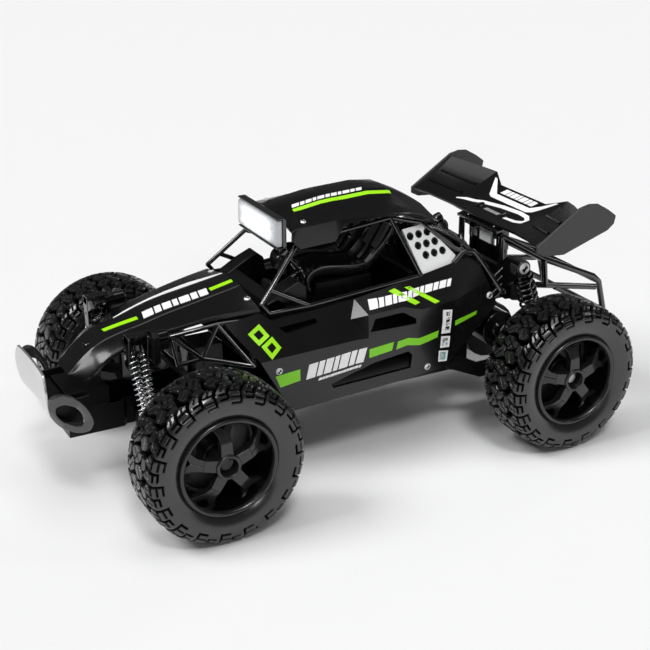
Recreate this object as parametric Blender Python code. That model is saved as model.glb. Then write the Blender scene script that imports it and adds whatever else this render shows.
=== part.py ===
"""Remote control car: an off-road buggy, about 1:18, as an assembly of separate pieces.

Lengths below are millimetres and become metres when a mesh is made.
Frame: origin on the ground under the middle of the car, front towards -Y,
the car's left side towards +X, +Z up.
"""
import math

import bmesh
import bpy
from mathutils import Matrix, Vector

# ---------------------------------------------------------------- driving dimensions
MM = 0.001
GAP = 0.3                      # clearance between neighbouring pieces
RUN = 0.1                      # radial clearance of a shaft in its hole
WALL = 1.8                     # moulded body panels
LENGTH = 306.0                 # bumper to rear cage
TYRE_R = 37.5
HALF_WHEELBASE = 91.7
FRONT_Y = -HALF_WHEELBASE
REAR_Y = HALF_WHEELBASE
AXLE_Z = TYRE_R
TYRE_IN = 51.4                 # inner and outer faces of a tyre, from the car's middle plane
TYRE_OUT = 81.5
RIM_R = 22.4
BEAD_R = RIM_R + GAP + 0.1
SPOKES = 5
LUGS = 12

FLOOR_Z = 33.0                 # underside of the chassis
TUB_TOP = 46.0
ARM_PIVOT = Vector((14.0, FRONT_Y, 38.0))
ARM_PIN_R = 1.3
SWING_PIN_R = 1.5
KINGPIN_X = 46.0
STEER_ARM = 10.0               # kingpin to tie rod, and servo shaft to tie rod
AXLE_PIVOT = Vector((0.0, 50.0, 39.0))
STUB_R = 2.5

SPUR_TEETH = 32
PINION_TEETH = 10
MODULE = 0.7
GEAR_DISTANCE = MODULE * (SPUR_TEETH + PINION_TEETH) / 2 + 0.15
MOTOR_Y = REAR_Y - GEAR_DISTANCE * math.sqrt(0.5)
MOTOR_Z = AXLE_Z + GEAR_DISTANCE * math.sqrt(0.5)

FRONT_SHOCK_TOP = Vector((29.0, -111.0, 80.0))
FRONT_SHOCK_END = Vector((38.0, -111.0, 45.0))
REAR_SHOCK_TOP = Vector((37.0, 90.2, 83.0))
REAR_SHOCK_END = Vector((37.0, 100.0, 50.0))

SIDES = (("left", 1), ("right", -1))

BLACK = (0.018, 0.018, 0.02, 1.0)
GREY = (0.06, 0.06, 0.065, 1.0)
RUBBER = (0.012, 0.012, 0.013, 1.0)
STEEL = (0.55, 0.56, 0.58, 1.0)
WHITE = (0.85, 0.86, 0.86, 1.0)


# ---------------------------------------------------------------- scene and materials
def clear_scene():
    for old in list(bpy.data.objects):
        bpy.data.objects.remove(old, do_unlink=True)


def material(name, colour, roughness, metallic=0.0):
    mat = bpy.data.materials.new(name)
    mat.use_nodes = True
    shader = mat.node_tree.nodes["Principled BSDF"]
    shader.inputs["Base Color"].default_value = colour
    shader.inputs["Roughness"].default_value = roughness
    shader.inputs["Metallic"].default_value = metallic
    mat.diffuse_color = colour
    return mat


# ---------------------------------------------------------------- shapes: each is (points, faces)
def prism(outline, axis, low, high):
    """Extrude an outline along x, y or z; the outline holds the two other coordinates."""
    place = {"x": lambda a, b, c: (c, a, b), "y": lambda a, b, c: (a, c, b), "z": lambda a, b, c: (a, b, c)}[axis]
    n = len(outline)
    points = [place(a, b, low) for a, b in outline] + [place(a, b, high) for a, b in outline]
    faces = [tuple(range(n)), tuple(range(n, 2 * n))]
    faces += [(i, (i + 1) % n, n + (i + 1) % n, n + i) for i in range(n)]
    return points, faces


def box(low, high):
    outline = [(low[0], low[1]), (high[0], low[1]), (high[0], high[1]), (low[0], high[1])]
    return prism(outline, "z", low[2], high[2])


def circle(centre, radius, sides, start=0.0):
    step = 2 * math.pi / sides
    return [(centre[0] + radius * math.cos(start + i * step), centre[1] + radius * math.sin(start + i * step))
            for i in range(sides)]


def rod(start, end, radius, sides=12, end_radius=None):
    """A round bar between two points, tapered if end_radius is given."""
    return tube([start, end], radius, sides, end_radius)


def tube(path, radius, sides=8, end_radius=None):
    """A round bar along a path of points."""
    path = [Vector(p) for p in path]
    end_radius = radius if end_radius is None else end_radius
    points, faces = [], []
    side_axis = None
    for i, point in enumerate(path):
        before = path[i] - path[i - 1] if i else path[1] - path[0]
        after = path[i + 1] - path[i] if i + 1 < len(path) else before
        tangent = (before.normalized() + after.normalized()).normalized()
        if side_axis is None:
            helper = Vector((0, 0, 1)) if abs(tangent.z) < 0.9 else Vector((0, 1, 0))
            side_axis = tangent.cross(helper).normalized()
        side_axis = (side_axis - tangent * side_axis.dot(tangent)).normalized()
        up_axis = tangent.cross(side_axis)
        r = radius + (end_radius - radius) * i / (len(path) - 1)
        for a, b in circle((0, 0), r, sides):
            points.append(point + side_axis * a + up_axis * b)
    for i in range(len(path) - 1):
        for j in range(sides):
            k = (j + 1) % sides
            faces.append((i * sides + j, i * sides + k, (i + 1) * sides + k, (i + 1) * sides + j))
    faces.append(tuple(range(sides)))
    faces.append(tuple(range((len(path) - 1) * sides, len(path) * sides)))
    return points, faces


def turned(profile, sides, centre, radius_of=None, start=0.0):
    """Turn a closed (x, radius) profile about the X axis through centre (y, z)."""
    n = len(profile)
    points, faces = [], []
    for i in range(sides):
        turn = start + 2 * math.pi * i / sides
        for j, (x, r) in enumerate(profile):
            r = radius_of(i, j, r) if radius_of else r
            points.append((x, centre[0] + r * math.cos(turn), centre[1] + r * math.sin(turn)))
    for i in range(sides):
        for j in range(n):
            a, b = i * n, ((i + 1) % sides) * n
            faces.append((a + j, a + (j + 1) % n, b + (j + 1) % n, b + j))
    return points, faces


def plate(rows, thickness):
    """A sheet through a grid of points (its outer face), thickened away from its normals."""
    rows = [[Vector(p) for p in row] for row in rows]
    m, n = len(rows), len(rows[0])
    inner = []
    for i in range(m):
        line = []
        for j in range(n):
            along = rows[min(i + 1, m - 1)][j] - rows[max(i - 1, 0)][j]
            across = rows[i][min(j + 1, n - 1)] - rows[i][max(j - 1, 0)]
            line.append(rows[i][j] - across.cross(along).normalized() * thickness)
        inner.append(line)
    points = [p for row in rows for p in row] + [p for row in inner for p in row]
    faces = []
    for i in range(m - 1):
        for j in range(n - 1):
            a, b, c, d = (i * n + j, i * n + j + 1, (i + 1) * n + j + 1, (i + 1) * n + j)
            if (points[a] - points[c]).length <= (points[b] - points[d]).length:
                halves = ((a, b, c), (a, c, d))
            else:
                halves = ((a, b, d), (b, c, d))
            for half in halves:
                faces.append(half)
                faces.append(tuple(m * n + k for k in reversed(half)))
    rim = [(0, j) for j in range(n)] + [(i, n - 1) for i in range(1, m)]
    rim += [(m - 1, j) for j in range(n - 2, -1, -1)] + [(i, 0) for i in range(m - 2, 0, -1)]
    for (i, j), (k, l) in zip(rim, rim[1:] + rim[:1]):
        faces.append((i * n + j, k * n + l, m * n + k * n + l, m * n + i * n + j))
    return points, faces


def helix(start, end, radius, wire, turns, sides=4, steps=8):
    """A coil spring between two points."""
    start, end = Vector(start), Vector(end)
    axis = (end - start).normalized()
    side_axis = axis.cross(Vector((0, 1, 0))).normalized()
    up_axis = axis.cross(side_axis)
    count = turns * steps
    path = []
    for i in range(count + 1):
        turn = 2 * math.pi * i / steps
        centre = start.lerp(end, i / count)
        path.append(centre + (side_axis * math.cos(turn) + up_axis * math.sin(turn)) * radius)
    return tube(path, wire, sides)


def gear(teeth, centre, low, high, bore, phase):
    """A spur gear across X, with a round bore."""
    pitch_r = MODULE * teeth / 2
    root_r, tip_r = pitch_r - 0.8 * MODULE, pitch_r + 0.75 * MODULE
    root_half, tip_half = 0.95 / 2 / pitch_r, 0.42 / 2 / pitch_r
    outline = []
    for i in range(teeth):
        middle = phase + 2 * math.pi * i / teeth
        for r, turn in ((root_r, -root_half), (tip_r, -tip_half), (tip_r, tip_half), (root_r, root_half)):
            outline.append((centre[0] + r * math.cos(middle + turn), centre[1] + r * math.sin(middle + turn)))
    return prism(outline, "x", low, high), prism(circle(centre, bore, 16), "x", low - 1, high + 1)


def mirrored(shape, side):
    points, faces = shape
    return [(side * p[0], p[1], p[2]) for p in points], faces


# ---------------------------------------------------------------- solids from shapes
def mesh_object(name, shape):
    points, faces = shape
    mesh = bpy.data.meshes.new(name)
    mesh.from_pydata([Vector(p) * MM for p in points], [], faces)
    work = bmesh.new()
    work.from_mesh(mesh)
    bmesh.ops.recalc_face_normals(work, faces=work.faces)
    work.to_mesh(mesh)
    work.free()
    item = bpy.data.objects.new(name, mesh)
    bpy.context.collection.objects.link(item)
    return item


def combine(target, shape, operation):
    """Add a shape to an object, or cut it away."""
    tool = mesh_object("tool", shape)
    modifier = target.modifiers.new("combine", "BOOLEAN")
    modifier.operation = operation
    modifier.object = tool
    bpy.context.view_layer.update()
    result = bpy.data.meshes.new_from_object(target.evaluated_get(bpy.context.evaluated_depsgraph_get()))
    target.modifiers.clear()
    target.data = result
    bpy.data.objects.remove(tool, do_unlink=True)


def piece(name, shapes, mat, cuts=(), origin=None, smooth=30.0):
    """One named sub-part: the union of its shapes, less its cuts, with its origin where asked."""
    item = mesh_object(name, shapes[0])
    for shape in shapes[1:]:
        combine(item, shape, "UNION")
    for shape in cuts:
        combine(item, shape, "DIFFERENCE")
    item.data.materials.clear()
    item.data.materials.append(mat)
    if origin is not None:
        item.data.transform(Matrix.Translation(-Vector(origin) * MM))
        item.location = Vector(origin) * MM
    item.data.shade_smooth()
    item.data.set_sharp_from_angle(angle=math.radians(smooth))
    return item


# ---------------------------------------------------------------- chassis and what is in it
def symmetric_outline(half_widths, inset=0.0):
    """A closed (x, y) outline from (y, half width) stations, front to back."""
    last = len(half_widths) - 1
    ends = {0: inset, last: -inset}
    right = [(-(w - inset), y + ends.get(i, 0.0)) for i, (y, w) in enumerate(half_widths)]
    left = [(w - inset, y + ends.get(i, 0.0)) for i, (y, w) in enumerate(half_widths)]
    return right + left[::-1]


def chassis():
    plastic = material("chassis black", BLACK, 0.55)
    stations = [(-140, 13), (-114, 13), (-112, 11), (-72, 11), (-62, 17), (-45, 31.5), (56, 31.5), (60, 24), (66, 24)]
    tub = prism(symmetric_outline(stations), "z", FLOOR_Z, TUB_TOP)
    hollow = prism(symmetric_outline(stations, 2.0), "z", FLOOR_Z + 2, TUB_TOP + 5)
    nose = box((-12, -139.9, FLOOR_Z + 1), (12, -120, 54))
    hatch = box((-17.3, -22, FLOOR_Z - 1), (17.3, 34, FLOOR_Z + 4))
    slot = box((21.5, -35, FLOOR_Z - 1), (26.5, -25, FLOOR_Z + 4))
    item = piece("chassis_tub", [tub], plastic, [hollow, hatch, slot])
    combine(item, nose, "UNION")
    x, _, z = ARM_PIVOT
    for _, side in SIDES:
        for y in (-109.4, -77.6):
            combine(item, mirrored(box((10.0, y, z - 3.2), (x + 2.6, y + 3.0, z + 3.2)), side), "UNION")
        combine(item, mirrored(rod((x, -108.0, z), (x, -76.0, z), ARM_PIN_R, 12), side), "UNION")
        pin = rod((29.0, AXLE_PIVOT.y, AXLE_PIVOT.z), (36.8, AXLE_PIVOT.y, AXLE_PIVOT.z), SWING_PIN_R, 12)
        combine(item, mirrored(pin, side), "UNION")

    cover = box((-17, -21.7, FLOOR_Z), (17, 33.7, FLOOR_Z + 1.8))
    grip = box((-8, 24, FLOOR_Z - 1), (8, 27, FLOOR_Z + 0.6))
    piece("battery_cover", [cover], material("cover black", GREY, 0.6), [grip])

    cells = [rod((x, -18, 44.5), (x, 30, 44.5), 7.4, 16) for x in (-7.2, 7.2)]
    wrap = box((-13.5, -17.5, 38), (13.5, 29.5, 51))
    piece("battery_pack", [wrap] + cells, material("battery wrap", (0.05, 0.12, 0.35, 1), 0.4))

    stem = box((22, -33.8, FLOOR_Z - 1.5), (26, -29.2, FLOOR_Z + 4))
    flange = box((20.5, -36.5, FLOOR_Z + 2.4), (27.5, -26.5, FLOOR_Z + 4))
    piece("power_switch", [stem, flange], material("switch", (0.6, 0.04, 0.03, 1), 0.45))

    board = box((-15, -56, 36), (15, -26, 37.6))
    chips = [box((-11, -50, 37), (-3, -42, 40)), box((1, -52, 37), (10, -46, 41)),
             box((-9, -38, 37), (4, -30, 39.5)), rod((10, -36, 37), (10, -36, 45), 3.2, 12)]
    piece("circuit_board", [board] + chips, material("board green", (0.02, 0.2, 0.06, 1), 0.5))

    case = box((-8, -76, 36), (8, -62, 62))
    tabs = box((-8.6, -72, 52), (8.6, -69, 56))
    boss = rod((0, -77.4, 58.5), (0, -75, 58.5), 3, 12)
    piece("steering_servo", [case, tabs, boss], material("servo black", GREY, 0.45))
    hub = rod((0, -79.0, 58.5), (0, -77.7, 58.5), 3.4, 14)
    arm = prism([(-2.4, 58.5), (2.4, 58.5), (1.6, 47.2), (-1.6, 47.2)], "y", -79.0, -77.7)
    piece("servo_horn", [hub, arm], material("horn white", WHITE, 0.5), origin=(0, -78, 58.5))
    bar = box((-38.6, -82.6, 47.2), (38.6, -79.4, 49.8))
    ends = [rod((x, -81, 46.6), (x, -81, 50.4), 2.6, 12) for x in (-38.6, 38.6)]
    piece("tie_rod", [bar] + ends, material("link black", GREY, 0.5))


def front_bumper():
    """Curved skid plate with an open loop at each end and a mount block."""
    front = [(-141.6, 42.4), (-148.6, 47.0), (-151.6, 52.0), (-152.3, 58.0), (-151.2, 63.6)]
    loop_front = [(-151.5, 64.2), (-153.0, 58.0), (-152.2, 51.8), (-149.2, 46.3), (-142.0, 41.4)]
    sweep = 4.0
    columns = (-33, -20, 0, 20, 33)
    rows = [[(x, y + sweep * (1 - (x / 33) ** 2) * (z - 42.4) / 21.2, z) for x in columns] for y, z in front]
    skid = plate(rows, 2.2)
    loop_out = [(-139.0, 41.8), (-135.6, 45.0), (-134.2, 50.0), (-135.3, 55.5), (-138.6, 60.0), (-143.5, 63.3),
                (-148.0, 64.6)] + loop_front
    loop_in = [(-147.6, 50.0), (-141.4, 48.0), (-139.0, 51.0), (-140.2, 54.8), (-144.0, 57.6), (-149.0, 59.4)]
    shapes, cuts = [skid], []
    for _, side in SIDES:
        shapes.append(mirrored(prism(loop_out, "x", 31.0, 35.0), side))
        cuts.append(mirrored(prism(loop_in, "x", 29.0, 37.0), side))
    shapes.append(box((-12, -147.5, 44.0), (12, -140.3, 52)))
    piece("front_bumper", shapes, material("bumper black", BLACK, 0.4), cuts)


# ---------------------------------------------------------------- body panels
def hood():
    """Long shallow-crowned hood that curls down at the nose.

    Each station: y, crease height, crease half width, edge height, edge half width, skirt depth.
    """
    stations = [(-140.0, 62.6, 6.0, 62.0, 12.5, 0.8), (-138.0, 65.6, 6.0, 64.6, 13.5, 2.4),
                (-133.0, 68.8, 6.0, 67.8, 15.0, 5.2), (-127.0, 71.2, 6.0, 70.2, 16.5, 6.6),
                (-121.0, 73.4, 6.5, 72.6, 17.4, 5.0), (-112.0, 76.9, 8.0, 76.0, 17.6, 2.6),
                (-102.0, 80.1, 9.6, 78.6, 19.5, 2.0), (-90.0, 83.2, 10.0, 80.7, 22.0, 2.0),
                (-76.0, 85.7, 9.8, 83.2, 24.2, 2.0), (-62.0, 88.1, 9.3, 84.7, 27.4, 2.0),
                (-53.0, 89.7, 9.0, 85.2, 29.8, 2.0)]
    rows = []
    for y, z_crease, crease, z_edge, edge, skirt in stations:
        half = [(crease, z_crease), (edge, z_edge), (edge + 0.6, z_edge - skirt)]
        rows.append([(-x, y, z) for x, z in half[::-1]] + [(x, y, z) for x, z in half])
    piece("hood", [plate(rows, WALL)], material("hood black", BLACK, 0.35), smooth=18)


def side_shells():
    """Flared side panels: sill, shoulder, crease and bottom edge at each station, front to back."""
    stations = [
        [(29.5, -70.0, 80.6), (33.5, -66.0, 74.5), (42.0, -58.4, 64.1), (40.0, -42.0, 35.4)],
        [(31.6, -54.0, 83.6), (36.0, -51.0, 75.5), (42.4, -47.0, 64.6), (40.0, -34.0, 35.6)],
        [(33.0, -48.0, 79.3), (37.5, -44.0, 73.5), (42.8, -38.0, 65.0), (40.0, -28.0, 35.9)],
        [(33.0, -9.0, 81.8), (38.0, -10.0, 74.5), (43.5, -11.0, 66.0), (40.0, -8.0, 36.8)],
        [(33.0, -5.5, 82.0), (44.0, -4.0, 77.5), (44.6, -4.0, 66.2), (40.0, -2.0, 37.0)],
        [(33.0, 14.0, 84.8), (44.0, 15.0, 78.0), (45.0, 14.0, 67.0), (40.0, 14.0, 37.8)],
        [(33.0, 26.0, 86.6), (44.4, 25.0, 75.0), (45.0, 24.0, 67.0), (40.0, 24.0, 38.2)],
        [(31.0, 49.0, 89.6), (43.0, 45.0, 75.6), (42.4, 44.0, 66.5), (39.0, 42.0, 39.3)],
        [(28.5, 64.5, 91.0), (38.5, 66.0, 80.4), (38.4, 72.5, 67.0), (39.0, 48.5, 44.5)],
    ]
    mat = material("shell black", BLACK, 0.42)
    scoop = prism([(-3.0, 69.0), (-0.5, 75.0), (14.6, 75.4), (21.5, 71.2), (21.8, 68.6)], "x", 36.0, 50.0)
    slot = prism([(-20.5, 42.8), (-22.0, 45.0), (0.0, 51.8), (19.0, 54.0), (21.5, 51.6), (21.5, 44.2)],
                 "x", 36.0, 50.0)
    groove = prism([(-46.0, 76.4), (-27.5, 77.4), (-26.5, 75.4), (-43.0, 73.6)], "x", 30.0, 45.0)
    for name, side in SIDES:
        cuts = [mirrored(cut, side) for cut in (scoop, slot, groove)]
        piece("side_shell_" + name, [mirrored(plate(stations, WALL), side)], mat, cuts, smooth=18)


def roof():
    """Crowned roof; its side flanges hang low over the front pillars and at the back."""
    stations = [(-33.0, 120.2, 118.0, 112.0), (-29.0, 122.6, 119.2, 107.8), (-11.0, 125.2, 120.4, 108.6),
                (-6.0, 125.6, 120.4, 116.4), (14.0, 126.4, 120.2, 117.0), (26.0, 125.0, 119.0, 116.0),
                (34.0, 121.4, 116.6, 112.4), (42.0, 116.8, 113.2, 110.6), (46.0, 114.0, 111.6, 109.6)]
    rows = []
    for y, z_top, z_edge, z_flange in stations:
        half = [(8.0, z_top), (16.8, z_edge), (23.6, z_edge - 1.6), (24.8, z_flange)]
        rows.append([(-x, y, z) for x, z in half[::-1]] + [(0, y, z_top + 0.5)] + [(x, y, z) for x, z in half])
    piece("roof", [plate(rows, 1.4)], material("roof black", BLACK, 0.35), smooth=18)


def cages():
    """Window pillars, roof rail and front quarter bar of one side."""
    bar_r = 1.1
    a_foot, a_top = (30.2, -52.0, 87.0), (21.0, -28.5, 109.8)
    b_top, b_foot = (21.2, 20.5, 114.4), (30.6, 31.6, 90.2)
    c_top, c_foot = (19.6, 38.0, 108.8), (26.6, 60.0, 93.2)
    quarter_top, quarter_foot = (28.2, -46.6, 92.3), (30.6, -28.0, 83.4)
    sill_front, sill_back = (30.6, -48.5, 84.0), (30.6, 31.6, 90.2)
    for name, side in SIDES:
        runs = [(a_foot, a_top, b_top), (b_top, b_foot), (b_top, c_top, c_foot), (quarter_top, quarter_foot),
                (a_foot, sill_front, quarter_foot, sill_back), (sill_back, c_foot)]
        shapes = [mirrored(tube(run, bar_r, 6), side) for run in runs]
        piece("cage_" + name, shapes, material("cage black", BLACK, 0.3))


def quarter_panels():
    """White corner panels with three rows of three round holes."""
    upper, lower = ((22.4, 26.4, 106.4), (21.6, 38.6, 106.4)), ((29.0, 35.2, 93.4), (27.8, 53.6, 95.2))
    corner = [Vector(p) for p in (upper[0], upper[1], lower[1], lower[0])]
    mat = material("panel white", WHITE, 0.4)
    for name, side in SIDES:
        rows = [[corner[1], corner[0]], [corner[2], corner[3]]]
        normal = (corner[1] - corner[0]).cross(corner[3] - corner[0]).normalized()
        holes = []
        for i in range(3):
            for j in range(3):
                down, across = 0.2 + 0.3 * i, 0.2 + 0.3 * j
                start = corner[0].lerp(corner[1], across)
                spot = start.lerp(corner[3].lerp(corner[2], across), down)
                holes.append(mirrored(rod(spot - normal * 4, spot + normal * 4, 1.5, 8), side))
        piece("quarter_panel_" + name, [mirrored(plate(rows, 1.2), side)], mat, holes)


def light_bar():
    housing = prism([(-34.2, 108.6), (-34.2, 121.4), (-35.6, 122.8), (-39.4, 122.6), (-39.4, 107.6)], "x", -21, 21)
    recess = prism([(-37.5, 109.2), (-37.5, 121.2), (-41.0, 121.2), (-41.0, 109.2)], "x", -19.4, 19.4)
    bracket = prism([(-38.0, 108.5), (-34.6, 109.5), (-32.4, 105.6), (-34.4, 103.8), (-36.6, 104.6)], "x", 17.0, 19.0)
    feet = [mirrored(bracket, side) for _, side in SIDES]
    shapes = [housing] + feet
    piece("light_bar", shapes, material("light housing", BLACK, 0.35), [recess])
    lens = prism([(-37.8, 109.6), (-37.8, 120.8), (-39.2, 120.6), (-39.6, 115.2), (-39.2, 109.8)], "x", -19.0, 19.0)
    piece("light_lens", [lens], material("lens", (0.9, 0.95, 1.0, 1), 0.1))


# ---------------------------------------------------------------- cabin, engine, wing, frames
def interior():
    """One moulding: floor, dashboard, steering wheel, two bucket seats and rear bulkhead."""
    shell = prism([(-29, 56), (29, 56), (29, 80), (-29, 80)], "y", -48, 30)
    hollow = prism([(-27, 58), (27, 58), (27, 90), (-27, 90)], "y", -46, 27.5)
    dash = prism([(-47.5, 60), (-34, 60), (-36, 78), (-42, 87.0), (-47.5, 85.0)], "x", -28, 28)
    shapes = [dash]
    seat_side = [(-20, 57), (13, 57), (30, 101), (31, 108), (26, 110), (21.5, 105), (10, 76), (2, 71), (-12, 73),
                 (-19, 76), (-22, 72)]
    for _, side in SIDES:
        shapes.append(mirrored(prism(seat_side, "x", 3.0, 19.4), side))
    rear_wall = box((-29, 27, 56.5), (29, 30, 88))
    column = rod((12.5, -38, 80), (12.5, -27, 84), 1.3, 8)
    wheel = turned([(-0.9, 5.6), (0.9, 5.6), (0.9, 7.4), (-0.9, 7.4)], 16, (0, 0))
    tilt = Matrix.Translation((12.5, -26.5, 84.2)) @ Matrix.Rotation(math.radians(-20), 4, "X") @ Matrix.Rotation(
        math.radians(90), 4, "Z")
    wheel = ([tilt @ Vector(p) for p in wheel[0]], wheel[1])
    spoke = ([tilt @ Vector(p) for p in box((-0.7, -6.4, -1.2), (0.7, 6.4, 1.2))[0]], box((0, 0, 0), (1, 1, 1))[1])
    item = piece("interior_tub", [shell], material("interior black", BLACK, 0.6), [hollow])
    for shape in shapes + [rear_wall, column, wheel, spoke]:
        combine(item, shape, "UNION")


def engine_cover():
    """Dummy engine behind the cabin: block, two banks of cylinders, intake horns and exhausts."""
    block = prism([(31.0, 66), (31.0, 84), (40, 90), (66, 88), (78, 80), (81, 66)], "x", -18, 18)
    shapes = [block]
    for _, side in SIDES:
        for i in range(3):
            y = 46 + 10 * i
            shapes.append(rod((side * 7, y, 84 - i), (side * 11, y, 96 - i), 3.6, 10))
        shapes.append(mirrored(tube([(15, 44, 84), (17.5, 50, 86.5), (17.5, 66, 84), (15, 76, 76)], 2.2, 8), side))
    shapes.append(rod((0, 42, 88), (0, 42, 98), 4.5, 12, 5.5))
    shapes.append(box((-5.5, 48, 86), (5.5, 70, 92)))
    horn = tube([(0, 56, 90), (0, 57, 97), (0, 59.5, 101), (0, 63.0, 102.5)], 2.6, 10, 3.6)
    shapes.append(horn)
    piece("engine_cover", shapes, material("engine black", BLACK, 0.35))


def rear_wing():
    """Blade with a low middle and swept tips, two end plates, and its stand."""
    stations = [(-54.8, 81.2, 100.6, 105.0, 115.4), (-44, 84.0, 100.2, 111.5, 113.4), (-30.3, 87.0, 99.0, 118.6, 110.7),
                (-25, 87.2, 98.9, 116.2, 108.8), (-19.3, 87.2, 98.6, 113.6, 106.9)]
    stations += [(0, 87.0, 98.5, 113.6, 106.9)] + [(-x, a, b, c, d) for x, a, b, c, d in reversed(stations)]
    chord = (0.0, 0.25, 0.5, 0.75, 1.0)
    sag = 1.4
    rows = []
    for x, y0, z0, y1, z1 in stations:
        rows.append([(x, y0 + (y1 - y0) * t, z0 + (z1 - z0) * t - sag * 4 * t * (1 - t)) for t in chord])
    piece("wing", [plate([row[::-1] for row in rows], 1.5)], material("wing black", BLACK, 0.35), smooth=15)
    outline = [(80.7, 100.6), (105.1, 116.3), (110.5, 117.4), (115.7, 116.9), (122.5, 113.0), (127.5, 109.3),
               (126.6, 105.2), (123.0, 102.4), (96.9, 94.0), (85.0, 95.0), (80.7, 97.2)]
    for name, side in SIDES:
        shape = mirrored(prism(outline, "x", 55.7, 57.2), side)
        piece("end_plate_" + name, [shape], material("end plate black", GREY, 0.4))
    top = prism([(85.0, 94.6), (85.0, 96.1), (100.0, 99.1), (100.0, 97.6)], "x", -18, 18)
    shapes = [top]
    cuts = []
    for _, side in SIDES:
        shapes.append(mirrored(box((10.2, 90.4, 66.0), (13.6, 95.8, 97.0)), side))
        cuts.append(mirrored(box((9.0, 92.2, 72), (15.0, 94.0, 90)), side))
        shapes.append(mirrored(box((8.0, 88.2, 65.9), (15.8, 97.6, 67.5)), side))
    shapes.append(box((-12, 91.8, 78), (12, 94.2, 81)))
    piece("wing_stand", shapes, material("stand black", BLACK, 0.4), cuts)


def rear_frames():
    """Shock tower behind the cabin and the tubular cage round the tail."""
    tower = prism([(-31, 64.6), (31, 64.6), (31, 72), (40, 79), (40, 87), (30, 87), (22, 80), (-22, 80), (-30, 87),
                   (-40, 87), (-40, 79), (-31, 72)], "y", 83.0, 86.2)
    deck = prism([(-24, 62.6), (24, 62.6), (24, 86.4), (15.9, 90.0), (15.9, 99.0), (-15.9, 99.0), (-15.9, 90.0),
                  (-24, 86.4)], "z", 62.6, 65.6)
    posts = [mirrored(box((18.5, 58.0, 46.4), (23.5, 65.9, 64)), side) for _, side in SIDES]
    piece("rear_tower", [tower, deck] + posts, material("tower black", BLACK, 0.45))

    bar_r = 1.7
    shapes = []
    for _, side in SIDES:
        runs = [
            [(18.0, 88.4, 93.0), (22.0, 112.0, 78.6), (26.0, 142.5, 65.0), (26.0, 146.6, 61.4), (26.0, 151.3, 44.0)],
            [(23.0, 112.0, 78.0), (24.0, 112.8, 64.6)],
            [(24.0, 112.8, 64.6), (26.0, 144.5, 58.6)],
            [(24.5, 119.0, 62.8), (26.0, 151.3, 44.0)],
            [(18.0, 88.4, 93.0), (18.0, 88.8, 67.6)],
            [(18.0, 88.8, 67.6), (24.0, 112.8, 64.6)],
        ]
        shapes += [mirrored(tube(run, bar_r, 6), side) for run in runs]
    for y, z, half in ((144.3, 62.8, 26.0), (151.3, 44.0, 26.0), (112.4, 78.2, 22.0)):
        shapes.append(rod((-half, y, z), (half, y, z), bar_r, 6))
    piece("rear_cage", shapes, material("rear cage black", BLACK, 0.35))


def front_frames():
    """Truss along each side under the hood, and the front shock tower."""
    bar_r = 1.15
    top_front, top_mid, top_back = (21.5, -93.3, 76.4), (25.6, -71.6, 79.6), (28.0, -58.5, 80.0)
    low_front, low_mid, low_back = (22.6, -90.7, 62.0), (27.0, -80.5, 65.2), (38.4, -60.0, 61.6)
    shapes = []
    for _, side in SIDES:
        runs = [(top_front, top_mid, top_back), (low_front, low_mid, low_back), (top_front, low_front),
                (top_front, low_mid), (top_mid, low_mid), (top_mid, low_back), (top_back, low_back)]
        shapes += [mirrored(tube(run, bar_r, 6), side) for run in runs]
    for point in (low_front, low_mid):
        shapes.append(rod((-point[0], point[1], point[2]), point, bar_r, 6))
    shapes.append(box((-16, -62.0, 62.4), (16, -58.0, 66.0)))
    shapes.append(rod((-38.0, -60.0, 61.6), (38.0, -60.0, 61.6), bar_r, 6))
    piece("front_frame", shapes, material("frame black", BLACK, 0.35))

    post = box((-9, -106, TUB_TOP + 0.4), (9, -100, 70))
    bar = box((-26, -105.5, 66), (26, -101, 73.4))
    shapes = [post, bar]
    for _, side in SIDES:
        shapes.append(mirrored(rod((24.6, -104, 74.8), (24.6, -96.0, 75.4), 3.0, 12), side))
        shapes.append(mirrored(box((21.6, -105.5, 70), (27.6, -101, 77)), side))
        ear = [(24.4, 70.0), (33.0, 70.0), (33.0, 82.0), (31.0, 84.0), (26.4, 84.0), (24.4, 82.0)]
        shapes.append(mirrored(prism(ear, "y", -105.5, -102.4), side))
    piece("front_tower", shapes, material("front tower black", BLACK, 0.45))


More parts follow.
